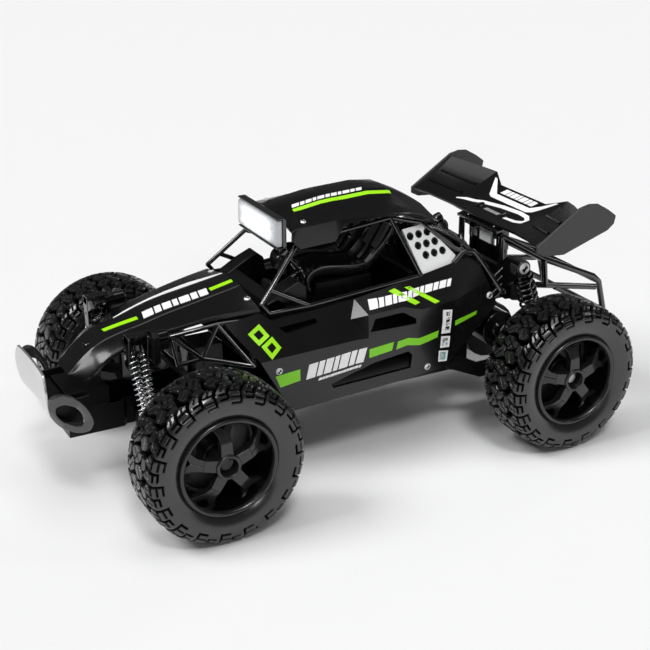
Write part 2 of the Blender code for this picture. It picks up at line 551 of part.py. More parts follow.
# ---------------------------------------------------------------- running gear
def front_suspension():
    """Swing arm with a C-shaped hub carrier, and the steering knuckle in it."""
    arm_mat = material("arm black", BLACK, 0.5)
    knuckle_mat = material("knuckle black", GREY, 0.45)
    arm_plan = [(14, -106), (14, -78), (36, -86), (41, -86), (41, -98), (42, -108.2), (35, -108.2), (29, -103)]
    for name, side in SIDES:
        shapes = [
            prism(arm_plan, "z", 36.0, 40.0),
            rod((ARM_PIVOT.x, -106, ARM_PIVOT.z), (ARM_PIVOT.x, -78, ARM_PIVOT.z), 2.7, 12),
            box((38, -97, 28.0), (41, -86.4, 47.6)),
            box((38, -97, 45.6), (50, -86.4, 47.6)),
            box((38, -97, 28.0), (50, -86.4, 30.0)),
            box((35, -108.2, 36.0), (41.6, -106.2, 48.5)),
        ]
        bore = rod((KINGPIN_X, FRONT_Y, 25), (KINGPIN_X, FRONT_Y, 50), 2.0 + RUN, 12)
        window = prism([(19, -101), (19, -83.5), (33, -88.5), (33, -97)], "z", 34, 42)
        hinge = rod((ARM_PIVOT.x, -107, ARM_PIVOT.z), (ARM_PIVOT.x, -77, ARM_PIVOT.z), ARM_PIN_R + RUN, 12)
        piece("front_arm_" + name, [mirrored(s, side) for s in shapes], arm_mat,
              [mirrored(cut, side) for cut in (bore, window, hinge)],
              origin=(side * ARM_PIVOT.x, ARM_PIVOT.y, ARM_PIVOT.z))
        shapes = [
            box((42.4, -95.2, 30.4), (49.6, -88.2, 45.2)),
            rod((KINGPIN_X, FRONT_Y, 27.4), (KINGPIN_X, FRONT_Y, 48.2), 2.0, 12),
            rod((48.0, FRONT_Y, AXLE_Z), (76.0, FRONT_Y, AXLE_Z), STUB_R, 12),
            rod((49.0, FRONT_Y, AXLE_Z), (52.0, FRONT_Y, AXLE_Z), 4.2, 12),
            box((44.2, -89.0, 41.6), (47.2, FRONT_Y + STEER_ARM, 44.6)),
        ]
        piece("knuckle_" + name, [mirrored(s, side) for s in shapes], knuckle_mat,
              origin=(side * KINGPIN_X, FRONT_Y, AXLE_Z))


def wheels():
    """Four five-spoke rims with deep barrels, and knobbly tyres."""
    rim_mat = material("rim black", BLACK, 0.3)
    tyre_mat = material("tyre rubber", RUBBER, 0.8)
    barrel = [(54.6, RIM_R), (54.6, RIM_R - 1.8), (66, RIM_R - 3.4), (80.9, RIM_R - 1.4), (80.9, RIM_R - 0.2),
              (79.0, RIM_R)]
    hub = [(63.0, STUB_R + RUN), (78.6, STUB_R + RUN), (78.6, 4.8), (63.0, 5.6)]
    carcass = [(55.0, BEAD_R), (51.8, 27.0), (TYRE_IN, 32.6), (54.6, 36.2), (66.4, 36.2), (78.2, 36.2),
               (TYRE_OUT, 32.6), (81.0, 27.0), (78.8, BEAD_R)]
    steps = LUGS * 3
    tread_r = TYRE_R / math.cos(math.pi / steps)
    inner_r, outer_r = 5.0, RIM_R - 1.6

    def lug(i, j, r):
        return tread_r if i % 3 in (0, 1) and j in (3, 4, 5) else r

    for end, y in (("front", FRONT_Y), ("rear", REAR_Y)):
        for name, side in SIDES:
            centre = (y, AXLE_Z)
            shapes = [turned(hub, 14, centre)]
            for i in range(SPOKES):
                middle = math.pi / 2 + 2 * math.pi * i / SPOKES
                outline = []
                for r, turn in ((inner_r, -0.42), (12.0, -0.19), (outer_r, -0.30), (outer_r, 0.30), (12.0, 0.19),
                                (inner_r, 0.42)):
                    outline.append((y + r * math.cos(middle + turn), AXLE_Z + r * math.sin(middle + turn)))
                shapes.append(prism(outline, "x", 72.6, 76.2))
            item = piece("rim_%s_%s" % (end, name), [mirrored(turned(barrel, 28, centre), side)], rim_mat)
            for shape in shapes:
                combine(item, mirrored(shape, side), "UNION")
            origin = Vector((side * KINGPIN_X, y, AXLE_Z))
            item.data.transform(Matrix.Translation(-origin * MM))
            item.location = origin * MM
            item.data.shade_smooth()
            item.data.set_sharp_from_angle(angle=math.radians(30))
            piece("tyre_%s_%s" % (end, name), [mirrored(turned(carcass, steps, centre, lug, -math.pi / steps), side)],
                  tyre_mat, origin=origin)


def rear_drive():
    """Swinging rear axle: a split gearbox with tubes and trailing arms, shaft, gears and motor."""
    box_mat = material("gearbox black", BLACK, 0.5)
    centre, pinion = (REAR_Y, AXLE_Z), (MOTOR_Y, MOTOR_Z)
    origin = (0, AXLE_PIVOT.y, AXLE_PIVOT.z)
    pivot = (AXLE_PIVOT.y, AXLE_PIVOT.z)
    arm = [(50, 43.2), (46.4, 41.4), (45.8, 38), (47.4, 35.6), (50, 34.8), (66, 27.5), (88, 27.5), (97, 33),
           (96, 42), (88, 42), (80, 34.5), (66, 34.5)]
    for name, side in SIDES:
        near, skin, far = 0.15, 5.2, 7.0
        shapes = [
            prism(circle(centre, 14.8, 20), "x", near, far),
            prism(circle(pinion, 7.2, 12), "x", near, far),
            rod((5.5, REAR_Y, AXLE_Z), (47.5, REAR_Y, AXLE_Z), 4.3, 12),
            prism(arm, "x", 32.2, 36.0),
            prism([(91.0, 37.0), (96.0, 36.0), (103.4, 47.0), (103.4, 52.5), (97.0, 52.5)], "x", 39.6, 42.2),
        ]
        cuts = [
            prism(circle(centre, 13.0, 20), "x", -1, skin),
            prism(circle(pinion, 5.3, 12), "x", -1, skin),
            rod((-1, REAR_Y, AXLE_Z), (50, REAR_Y, AXLE_Z), STUB_R + RUN, 16),
            prism(circle(pivot, SWING_PIN_R + RUN, 12), "x", 30, 38),
        ]
        if side > 0:
            cuts.append(rod((3, MOTOR_Y, MOTOR_Z), (9, MOTOR_Y, MOTOR_Z), 1.1 + RUN, 12))
        piece("gearbox_" + name, [mirrored(s, side) for s in shapes], box_mat, [mirrored(c, side) for c in cuts],
              origin=origin)
    piece("rear_axle_shaft", [rod((-76, REAR_Y, AXLE_Z), (76, REAR_Y, AXLE_Z), STUB_R, 16)],
          material("shaft steel", STEEL, 0.3, 1.0), origin=(0, REAR_Y, AXLE_Z))
    body, bore = gear(SPUR_TEETH, centre, -1.8, 1.8, STUB_R + RUN, math.radians(135))
    piece("spur_gear", [body], material("gear white", WHITE, 0.5), [bore], origin=(0, REAR_Y, AXLE_Z))
    half_tooth = math.pi / PINION_TEETH
    body, bore = gear(PINION_TEETH, pinion, -1.7, 1.7, 0.9, math.radians(-45) + half_tooth)
    axle = rod((-2.4, MOTOR_Y, MOTOR_Z), (6.9, MOTOR_Y, MOTOR_Z), 1.1, 12)
    piece("motor_pinion", [body, axle], material("pinion brass", (0.75, 0.55, 0.2, 1), 0.35, 1.0),
          origin=(0, MOTOR_Y, MOTOR_Z))
    can = rod((7.4, MOTOR_Y, MOTOR_Z), (29.6, MOTOR_Y, MOTOR_Z), 9.6, 24)
    cap = rod((28, MOTOR_Y, MOTOR_Z), (31.0, MOTOR_Y, MOTOR_Z), 4.0, 16)
    piece("drive_motor", [can, cap], material("motor steel", STEEL, 0.35, 1.0), origin=origin)


def shocks():
    """Coil-over dampers: a body hung from each tower, a rod standing on each arm, and a spring."""
    body_mat = material("shock body", GREY, 0.35)
    rod_mat = material("shock rod", STEEL, 0.25, 1.0)
    spring_mat = material("spring steel", STEEL, 0.3, 1.0)
    layouts = (
        ("front", FRONT_SHOCK_TOP, FRONT_SHOCK_END, 2.4, 4.0, 0.5, (7.0, 29.5), 7, 4.8),
        ("rear", REAR_SHOCK_TOP, REAR_SHOCK_END, 2.9, 5.2, 0.6, (7.5, 29.0), 6, 6.1),
    )
    for end, top, foot, body_r, coil_r, wire, seats, turns, seat_r in layouts:
        down = (foot - top).normalized()
        reach = (foot - top).length

        def at(distance):
            return top + down * distance

        head = box(top - Vector((4.4, 3.4, 4.6)), top + Vector((4.4, 3.4, 3.6)))
        if end == "front":
            head = box(top - Vector((3.6, 3.8, 3.4)), top + Vector((3.2, 5.0, 3.4)))
        bodies = [rod(at(2.0), at(20.6), body_r, 10), rod(at(seats[0] - 1.8), at(seats[0] - 0.4), seat_r, 12)]
        bore = rod(at(5.6), at(22.0), 1.7, 8)
        rods = [rod(at(13.6), at(reach - 1.5), 1.3, 8), rod(at(seats[1] + 0.4), at(seats[1] + 1.8), seat_r, 12)]
        eye = rod(foot - Vector((0, 2.2, 0)), foot + Vector((0, 2.4, 0)), 2.7, 12)
        if end == "rear":
            eye = rod(foot - Vector((2.2, 0, 0)), foot + Vector((2.0, 0, 0)), 2.7, 12)
        for name, side in SIDES:
            label = "%s_%s" % (end, name)
            piece("shock_body_" + label, [mirrored(s, side) for s in [head] + bodies], body_mat,
                  [mirrored(bore, side)])
            piece("shock_rod_" + label, [mirrored(s, side) for s in rods + [eye]], rod_mat)
            coil = helix(at(seats[0] + wire + 0.05), at(seats[1] - wire - 0.05), coil_r, wire, turns)
            piece("spring_" + label, [mirrored(coil, side)], spring_mat)


def build():
    clear_scene()
    chassis()
    front_bumper()
    hood()
    side_shells()
    roof()
    cages()
    quarter_panels()
    light_bar()
    interior()
    engine_cover()
    rear_wing()
    rear_frames()
    front_frames()
    front_suspension()
    wheels()
    rear_drive()
    shocks()


build()
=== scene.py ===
"""Looks of the remote control car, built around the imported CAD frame.

Shapes are given in millimetres in the CAD frame and become metres when a mesh is made.
"""
import math

import bmesh
import bpy
import numpy as np
from mathutils import Matrix, Vector
from mathutils.bvhtree import BVHTree


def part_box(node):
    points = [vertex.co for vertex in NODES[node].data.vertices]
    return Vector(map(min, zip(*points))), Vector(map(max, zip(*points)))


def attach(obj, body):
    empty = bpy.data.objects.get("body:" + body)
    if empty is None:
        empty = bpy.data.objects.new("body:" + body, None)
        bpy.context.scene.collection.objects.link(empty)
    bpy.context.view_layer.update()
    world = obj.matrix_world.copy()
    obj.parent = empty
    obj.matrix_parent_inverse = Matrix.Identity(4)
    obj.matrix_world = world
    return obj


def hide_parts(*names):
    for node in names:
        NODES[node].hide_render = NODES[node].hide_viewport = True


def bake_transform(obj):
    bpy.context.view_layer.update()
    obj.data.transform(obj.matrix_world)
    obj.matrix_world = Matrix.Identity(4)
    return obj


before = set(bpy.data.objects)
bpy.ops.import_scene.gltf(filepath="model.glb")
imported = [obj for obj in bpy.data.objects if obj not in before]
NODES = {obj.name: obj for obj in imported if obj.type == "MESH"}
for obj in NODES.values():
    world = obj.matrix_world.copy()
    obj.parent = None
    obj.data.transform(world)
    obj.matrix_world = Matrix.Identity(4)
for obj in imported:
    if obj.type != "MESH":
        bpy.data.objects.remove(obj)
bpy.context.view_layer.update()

MM = 0.001
SIDES = (("left", 1), ("right", -1))


def middle(node):
    """Centre of a CAD node in millimetres."""
    low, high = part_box(node)
    return (low + high) / 2 / MM


# ---------------------------------------------------------------- materials
def add(tree, kind, inputs=None, **settings):
    """A shader node with its settings and inputs; an input is a value or another node's output."""
    node = tree.nodes.new("ShaderNode" + kind)
    for key, value in settings.items():
        setattr(node, key, value)
    for key, value in (inputs or {}).items():
        if isinstance(value, bpy.types.NodeSocket):
            tree.links.new(value, node.inputs[key])
        else:
            node.inputs[key].default_value = value
    return node


def node_material(name, colour, roughness, spread=0.06, grain=700.0, depth=0.03, metallic=0.0, specular=0.5,
                  coat=0.0, mottle=0.12):
    """Principled material with colour mottling, uneven gloss and a fine surface grain (depth in mm)."""
    mat = bpy.data.materials.new(name)
    mat.use_nodes = True
    tree = mat.node_tree
    shader = tree.nodes["Principled BSDF"]
    for key, value in (("Metallic", metallic), ("Specular IOR Level", specular), ("Coat Weight", coat),
                       ("Coat Roughness", 0.06)):
        shader.inputs[key].default_value = value
    place = add(tree, "TexCoord").outputs["Object"]
    broad = add(tree, "TexNoise", {"Scale": 45.0, "Detail": 5.0, "Vector": place}).outputs["Fac"]
    dark = [c * (1 - mottle) for c in colour] + [1.0]
    light = [min(1.0, c * (1 + mottle)) for c in colour] + [1.0]
    tint = add(tree, "Mix", {"A": dark, "B": light, "Factor": broad}, data_type="RGBA")
    uneven = add(tree, "MapRange", {"To Min": max(0.02, roughness - spread), "To Max": roughness + spread,
                                    "Value": broad})
    fine = add(tree, "TexNoise", {"Detail": 3.0, "Scale": grain, "Vector": place})
    bump = add(tree, "Bump", {"Strength": 0.35, "Distance": depth * MM, "Height": fine.outputs["Fac"]})
    tree.links.new(tint.outputs["Result"], shader.inputs["Base Color"])
    tree.links.new(uneven.outputs["Result"], shader.inputs["Roughness"])
    tree.links.new(bump.outputs["Normal"], shader.inputs["Normal"])
    return mat


MATS = {
    "black": node_material("moulded black", (0.0035, 0.0035, 0.0037), 0.36, specular=0.25),
    "panel": node_material("panel black", (0.0028, 0.0028, 0.003), 0.26, grain=900, depth=0.012,
                           specular=0.42, coat=0.15),
    "gloss": node_material("gloss black", (0.002, 0.002, 0.0022), 0.09, spread=0.03, depth=0.003,
                           specular=0.45, coat=0.2),
    "frame": node_material("frame black", (0.0022, 0.0022, 0.0024), 0.15, spread=0.04, depth=0.003,
                           specular=0.9, coat=0.6),
    "grey": node_material("grey plastic", (0.035, 0.035, 0.037), 0.45, specular=0.4),
    "light grey": node_material("light grey plastic", (0.30, 0.30, 0.31), 0.4),
    "rim": node_material("rim black", (0.013, 0.013, 0.0135), 0.24, depth=0.012, specular=0.6),
    "chrome": node_material("bright steel", (0.75, 0.76, 0.78), 0.16, spread=0.05, depth=0.004, metallic=1.0),
    "bolt": node_material("bright bolt", (0.78, 0.78, 0.79), 0.3, spread=0.06, depth=0.004, metallic=0.35),
    "steel": node_material("dull steel", (0.45, 0.46, 0.48), 0.34, spread=0.08, depth=0.01, metallic=1.0),
    "white": node_material("white plastic", (0.86, 0.87, 0.87), 0.38, depth=0.01, mottle=0.02),
    "green": node_material("green sticker", (0.37, 0.86, 0.004), 0.4, depth=0.006, mottle=0.05),
    "side green": node_material("side green sticker", (0.22, 0.66, 0.01), 0.45, depth=0.006, mottle=0.05),
    "teal": node_material("teal sticker", (0.09, 0.50, 0.48), 0.42, depth=0.006, mottle=0.05),
    "sticker white": node_material("white sticker", (0.94, 0.94, 0.94), 0.42, depth=0.006, mottle=0.02),
    "skid": node_material("skid silver", (0.62, 0.62, 0.625), 0.24, spread=0.04, depth=0.006, metallic=0.8),
    "loop": node_material("loop grey", (0.026, 0.026, 0.0275), 0.2, specular=0.75),
    "seat": node_material("seat black", (0.012, 0.012, 0.013), 0.25, spread=0.08, depth=0.02, specular=0.7,
                          coat=0.5),
    "end plate": node_material("end plate grey", (0.04, 0.04, 0.042), 0.42, specular=0.45),
    "dark steel": node_material("dark steel", (0.10, 0.10, 0.105), 0.2, metallic=0.9),
    "label ink": node_material("label ink", (0.02, 0.02, 0.022), 0.45),
    "red": node_material("red plastic", (0.5, 0.02, 0.015), 0.4),
    "brass": node_material("brass", (0.72, 0.48, 0.18), 0.3, metallic=1.0),
    "board": node_material("board green", (0.004, 0.03, 0.011), 0.45, grain=300),
    "wrap": node_material("battery wrap", (0.03, 0.08, 0.3), 0.32),
}


def tyre_material():
    """Rubber with a painted reflection that makes its side walls paler, and painted shade that makes it
    darker down in its grooves, where it is also duller.
    """
    mat = node_material("tyre rubber", (0.0042, 0.0042, 0.0044), 0.24, spread=0.08, grain=1500, mottle=0.2)
    tree = mat.node_tree
    shader = tree.nodes["Principled BSDF"]
    colour = shader.inputs["Base Color"].links[0].from_socket
    roughness = shader.inputs["Roughness"].links[0].from_socket
    groove = add(tree, "Attribute", attribute_name="groove").outputs["Fac"]
    # painted reflection: faces turned to the side get a paler colour, standing in for the bright floor that
    # the side walls reflect
    parts = add(tree, "SeparateXYZ", {"Vector": add(tree, "TexCoord").outputs["Normal"]})
    facing = add(tree, "Math", {0: parts.outputs["X"]}, operation="ABSOLUTE")
    wall = add(tree, "MapRange", {"From Min": 0.6, "From Max": 0.97, "Value": facing.outputs[0]})
    painted_wall_reflection, deep = (0.013, 0.013, 0.0133, 1.0), (0.0006, 0.0006, 0.0006, 1.0)
    wall_reflection_mix = add(tree, "Mix", {"A": colour, "B": painted_wall_reflection, "Factor": wall.outputs["Result"]}, data_type="RGBA")
    # painted shade: the colour goes near black with the groove depth, standing in for the shade down in the
    # grooves
    dark = add(tree, "Mix", {"A": wall_reflection_mix.outputs["Result"], "B": deep, "Factor": groove}, data_type="RGBA")
    shine = add(tree, "MapRange", {"To Min": 0.8, "To Max": 0.0, "Value": groove})
    dull = add(tree, "MapRange", {"To Min": 0.0, "To Max": 0.55, "Value": groove})
    rough = add(tree, "Math", {0: roughness, 1: dull.outputs["Result"]}, operation="ADD")
    tree.links.new(dark.outputs["Result"], shader.inputs["Base Color"])
    tree.links.new(shine.outputs["Result"], shader.inputs["Specular IOR Level"])
    tree.links.new(rough.outputs[0], shader.inputs["Roughness"])
    return mat


def lens_material():
    """Lamp cover that glows white in its middle and fades toward its edges."""
    mat = node_material("lamp lens", (0.42, 0.43, 0.45), 0.16, depth=0.006, mottle=0.02)
    tree = mat.node_tree
    shader = tree.nodes["Principled BSDF"]
    parts = add(tree, "SeparateXYZ", {"Vector": add(tree, "TexCoord").outputs["Object"]})
    glow = 1.1
    # for each axis, in metres: the middle, and how far from it the fade starts and ends
    for axis, centre, full, end in (("X", 0.0, 0.009, 0.0208), ("Z", 0.1152, 0.003, 0.0066)):
        away = add(tree, "Math", {0: parts.outputs[axis], 1: centre}, operation="SUBTRACT")
        size = add(tree, "Math", {0: away.outputs[0]}, operation="ABSOLUTE")
        fade = add(tree, "MapRange", {"From Min": full, "From Max": end, "To Min": 1.0, "To Max": 0.1,
                                      "Value": size.outputs[0]}, interpolation_type="SMOOTHSTEP")
        glow = add(tree, "Math", {0: fade.outputs["Result"], 1: glow}, operation="MULTIPLY").outputs[0]
    shader.inputs["Emission Color"].default_value = (0.93, 0.97, 1.0, 1.0)
    tree.links.new(glow, shader.inputs["Emission Strength"])
    return mat


MATS["lens"] = lens_material()
MATS["rubber"] = tyre_material()


# ---------------------------------------------------------------- shapes: each is (points, faces)
def between(low, high):
    """The closed shape between two outlines of matching points."""
    n = len(low)
    faces = [tuple(range(n)), tuple(range(n, 2 * n))]
    faces += [(i, (i + 1) % n, n + (i + 1) % n, n + i) for i in range(n)]
    return low + high, faces


def prism(outline, axis, low, high):
    """An outline in the plane square to an axis, from one level along the axis to another."""
    place = {"x": lambda a, b, c: (c, a, b),
             "y": lambda a, b, c: (a, c, b),
             "z": lambda a, b, c: (a, b, c)}[axis]
    return between(*[[place(a, b, level) for a, b in outline] for level in (low, high)])


def box(low, high):
    outline = [(low[0], low[1]), (high[0], low[1]), (high[0], high[1]), (low[0], high[1])]
    return prism(outline, "z", low[2], high[2])


def circle(centre, radius, sides):
    step = 2 * math.pi / sides
    return [(centre[0] + radius * math.cos(i * step), centre[1] + radius * math.sin(i * step))
            for i in range(sides)]


def spread(stations, steps):
    """More stations between the given ones, on smooth curves (each station a tuple of numbers)."""
    values = np.array(stations, float)
    ends = np.vstack([2 * values[0] - values[1], values, 2 * values[-1] - values[-2]])
    out = []
    for i in range(1, len(ends) - 2):
        a, b, c, d = ends[i - 1:i + 3]
        for k in range(steps):
            t = k / steps
            out.append(0.5 * (2 * b + (c - a) * t + (2 * a - 5 * b + 4 * c - d) * t * t
                              + (3 * b - a - 3 * c + d) * t ** 3))
    return [tuple(v) for v in out + [values[-1]]]


def smooth_path(path, steps=6):
    """A rounded path through the points."""
    return [Vector(p) for p in spread(path, steps)]


def square_axes(axis):
    """Two unit vectors square to an axis and to each other."""
    helper = Vector((0, 0, 1)) if abs(axis.z) < 0.9 else Vector((0, 1, 0))
    first = axis.cross(helper).normalized()
    return first, axis.cross(first)


def tube(path, radius, sides, radii=None):
    """A round bar along a path; radii gives a radius for each point."""
    path = [Vector(p) for p in path]
    points, faces = [], []
    side_axis = None
    for i, point in enumerate(path):
        before = path[i] - path[i - 1] if i else path[1] - path[0]
        after = path[i + 1] - path[i] if i + 1 < len(path) else before
        tangent = (before.normalized() + after.normalized()).normalized()
        if side_axis is None:
            side_axis = square_axes(tangent)[0]
        side_axis = (side_axis - tangent * side_axis.dot(tangent)).normalized()
        up_axis = tangent.cross(side_axis)
        r = radii[i] if radii else radius
        for a, b in circle((0, 0), r, sides):
            points.append(point + side_axis * a + up_axis * b)
    for i in range(len(path) - 1):
        for j in range(sides):
            k = (j + 1) % sides
            faces.append((i * sides + j, i * sides + k, (i + 1) * sides + k, (i + 1) * sides + j))
    faces.append(tuple(range(sides)))
    faces.append(tuple(range((len(path) - 1) * sides, len(path) * sides)))
    return points, faces


def rod(start, end, radius, sides=20):
    return tube([start, end], radius, sides)


def turned(profile, sides, origin, axis=(1, 0, 0)):
    """Turn a closed (along, radius) profile about an axis through origin."""
    axis = Vector(axis).normalized()
    a_axis, b_axis = square_axes(axis)
    n = len(profile)
    points, faces = [], []
    for i in range(sides):
        turn = 2 * math.pi * i / sides
        out = a_axis * math.cos(turn) + b_axis * math.sin(turn)
        points += [Vector(origin) + axis * x + out * r for x, r in profile]
    for i in range(sides):
        for j in range(n):
            a, b = i * n, ((i + 1) % sides) * n
            faces.append((a + j, a + (j + 1) % n, b + (j + 1) % n, b + j))
    return points, faces


def helix(start, end, radius, wire, turns):
    """A coil spring of even pitch."""
    steps = 28      # to a turn
    start, end = Vector(start), Vector(end)
    axis = (end - start).normalized()
    side_axis = axis.cross(Vector((0, 1, 0))).normalized()
    up_axis = axis.cross(side_axis)
    count = int(turns * steps)
    path = []
    for i in range(count + 1):
        turn = 2 * math.pi * i / steps
        u = i / count
        path.append(start.lerp(end, u) + (side_axis * math.cos(turn) + up_axis * math.sin(turn)) * radius)
    return tube(path, wire, 8)


def mirrored(shape, side):
    """The shape itself for side 1, its mirror image for side -1."""
    points, faces = shape
    return [(side * p[0], p[1], p[2]) for p in points], faces


def both(*shapes):
    """The shapes on the left side and their mirror images on the right."""
    return [mirrored(shape, side) for _, side in SIDES for shape in shapes]


def merged(shapes):
    """All the shapes as one."""
    points, faces = [], []
    for more_points, more_faces in shapes:
        base = len(points)
        points += [tuple(p) for p in more_points]
        faces += [tuple(base + k for k in face) for face in more_faces]
    return points, faces


# ---------------------------------------------------------------- pieces from shapes
def placed(name, data):
    item = bpy.data.objects.new(name, data)
    bpy.context.collection.objects.link(item)
    return item


def piece(name, shapes, mat, slot, *stands_for, body="chassis", side=1, bevel=0.0, angle=35.0, segments=2):
    """One named visual piece: closed shells in one mesh, riding on a CAD body (on none if body is None).

    It replaces the nodes in stands_for. Side -1 mirrors it. The bevel, in mm, rounds edges sharper than the
    angle.
    """
    points, faces = merged([mirrored(shape, side) for shape in shapes])
    mesh = bpy.data.meshes.new(name)
    mesh.from_pydata([Vector(p) * MM for p in points], [], faces)
    work = bmesh.new()
    work.from_mesh(mesh)
    bmesh.ops.recalc_face_normals(work, faces=work.faces)
    work.to_mesh(mesh)
    work.free()
    item = placed(name, mesh)
    mesh.materials.append(MATS[mat])
    mesh.shade_smooth()
    if bevel:
        finish_edges(item, bevel, angle, segments)
    else:
        mesh.set_sharp_from_angle(angle=math.radians(angle))
    if body:
        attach(item, body)
    if stands_for:
        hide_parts(*stands_for)
    return item


def finish_edges(item, width, angle, segments=2):
    """Rounded edges that catch the light."""
    modifier = item.modifiers.new("rounding", "BEVEL")
    modifier.width = width * MM
    modifier.segments = segments
    modifier.limit_method = "ANGLE"
    modifier.angle_limit = math.radians(angle)
    modifier.use_clamp_overlap = True
    normals = item.modifiers.new("normals", "WEIGHTED_NORMAL")
    normals.weight = 60
    normals.keep_sharp = False


def dress(node, mat):
    """Gives a CAD node its finish and rounded edges, once its facets are joined into flat faces."""
    item = NODES[node]
    item.data.materials.clear()
    item.data.materials.append(MATS[mat])
    weld = item.modifiers.new("weld", "WELD")
    weld.merge_threshold = 0.01 * MM
    flat = item.modifiers.new("flat", "DECIMATE")
    flat.decimate_type = "DISSOLVE"
    flat.angle_limit = math.radians(1.0)
    finish_edges(item, 0.3, 30.0)


# ---------------------------------------------------------------- stage
CAMERA_VIEW = (61.67, 22.64)                # azimuth and elevation
CAMERA_AT = (0.53087, -0.28935, 0.30785)    # metres
FOCAL, SENSOR = 73.107692, 36.0             # millimetres

# name, azimuth, elevation, width of the source (all in degrees), strength
LAMPS = [("key", -12.0, 50.0, 26.0, 1.7), ("top", 60.0, 84.0, 44.0, 0.86), ("left", 74.0, 56.0, 12.0, 1.0),
         ("side", 76.0, 25.0, 8.0, 0.3), ("rim", 205.0, 30.0, 8.0, 0.1), ("rear", 150.0, 34.0, 7.0, 0.12)]
FLOOR_HALF = 60.0                           # metres
SKY_STRENGTH = 0.08


def direction(azimuth, elevation):
    """Unit vector from the car toward an azimuth (0 in front, 90 on its left) and an elevation."""
    turn, lift = math.radians(azimuth), math.radians(elevation)
    return Vector((math.sin(turn) * math.cos(lift), -math.cos(turn) * math.cos(lift), math.sin(lift)))


def camera():
    """A long lens in front of the car, on its left side and above it."""
    back = direction(*CAMERA_VIEW)
    turn = math.radians(CAMERA_VIEW[0])
    right = Vector((math.cos(turn), math.sin(turn), 0.0))
    data = bpy.data.cameras.new("camera")
    data.lens = FOCAL
    data.sensor_width = SENSOR
    data.clip_start, data.clip_end = 0.01, 50.0
    item = placed("camera", data)
    place = Matrix((right, back.cross(right), back)).transposed().to_4x4()
    place.translation = Vector(CAMERA_AT)
    item.matrix_world = place
    bpy.context.scene.camera = item


def studio():
    """White floor, faint white surroundings and soft-edged lamps."""
    mesh = bpy.data.meshes.new("floor")
    corners = [(x * FLOOR_HALF, y * FLOOR_HALF, 0) for x, y in ((-1, -1), (1, -1), (1, 1), (-1, 1))]
    mesh.from_pydata(corners, [], [(0, 1, 2, 3)])
    floor = placed("floor", mesh)
    mesh.materials.append(node_material("floor white", (0.86, 0.86, 0.865), 0.7, depth=0.0, mottle=0.003,
                                        specular=0.1))

    scene = bpy.context.scene
    scene.world = bpy.data.worlds.new("world")
    scene.world.use_nodes = True
    sky = scene.world.node_tree.nodes["Background"]
    sky.inputs["Color"].default_value = (1.0, 1.0, 1.0, 1.0)
    sky.inputs["Strength"].default_value = SKY_STRENGTH

    for name, azimuth, elevation, width, strength in LAMPS:
        data = bpy.data.lights.new(name, "SUN")
        data.energy = strength
        data.angle = math.radians(width)
        lamp = placed(name, data)
        lamp.rotation_mode = "QUATERNION"
        lamp.rotation_quaternion = direction(azimuth, elevation).to_track_quat("Z", "Y")
    scene.view_settings.view_transform = "Standard"
    scene.view_settings.look = "None"


# ---------------------------------------------------------------- tyres
TYRE_R = 37.5
TYRE_MIDDLE = 66.45             # x of a tyre's middle plane
AXLE_Z = 37.5
RIM_FACE = 78.6                 # how far out the spokes' faces lie
PITCHES = 18                    # repeats of the tread round the tyre
PITCH = 2 * math.pi * TYRE_R / PITCHES
# x from the tyre's middle and radius, from the crown to the bead
TYRE_HALF = [(0.0, 37.5), (6.0, 37.45), (10.0, 37.0), (12.3, 36.0), (13.9, 34.4), (14.8, 32.4), (15.03, 30.2),
             (14.8, 28.0), (14.2, 26.0), (13.5, 24.6), (13.2, 23.9), (12.7, 23.4), (12.35, 22.85)]
TURN_STEPS = 648
FAR_OFF = 1e9                   # a start value above every distance
GROOVE_DEPTH, SIPE_DEPTH, NOTCH_DEPTH = 2.6, 1.1, 0.9
SHOULDER = 13.5                 # where the lugs stop leaning, across the tyre from its middle line
TREAD_EDGE = 19.5


def polygon_distance(u, s, outline):
    """Signed distance to a polygon, negative inside, for arrays of points."""
    corners = [np.array(p, float) for p in outline]
    best = np.full(u.shape, FAR_OFF)
    inside = np.zeros(u.shape, bool)
    for a, b in zip(corners, corners[1:] + corners[:1]):
        edge = b - a
        along = np.clip(((u - a[0]) * edge[0] + (s - a[1]) * edge[1]) / edge.dot(edge), 0, 1)
        best = np.minimum(best, np.hypot(u - a[0] - edge[0] * along, s - a[1] - edge[1] * along))
        crosses = (a[1] > s) != (b[1] > s)
        slope = (b[0] - a[0]) / (b[1] - a[1]) if b[1] != a[1] else 0.0
        inside ^= crosses & (u < a[0] + (s - a[1]) * slope)
    return np.where(inside, -best, best)


def line_distance(u, s, start, end):
    """Distance to a line between two points, for arrays of points."""
    edge = np.array(end, float) - np.array(start, float)
    along = np.clip(((u - start[0]) * edge[0] + (s - start[1]) * edge[1]) / edge.dot(edge), 0, 1)
    return np.hypot(u - start[0] - edge[0] * along, s - start[1] - edge[1] * along)


def ramp(value, low, high):
    """Smooth step from 0 at low to 1 at high."""
    t = np.clip((value - low) / (high - low), 0, 1)
    return t * t * (3 - 2 * t)


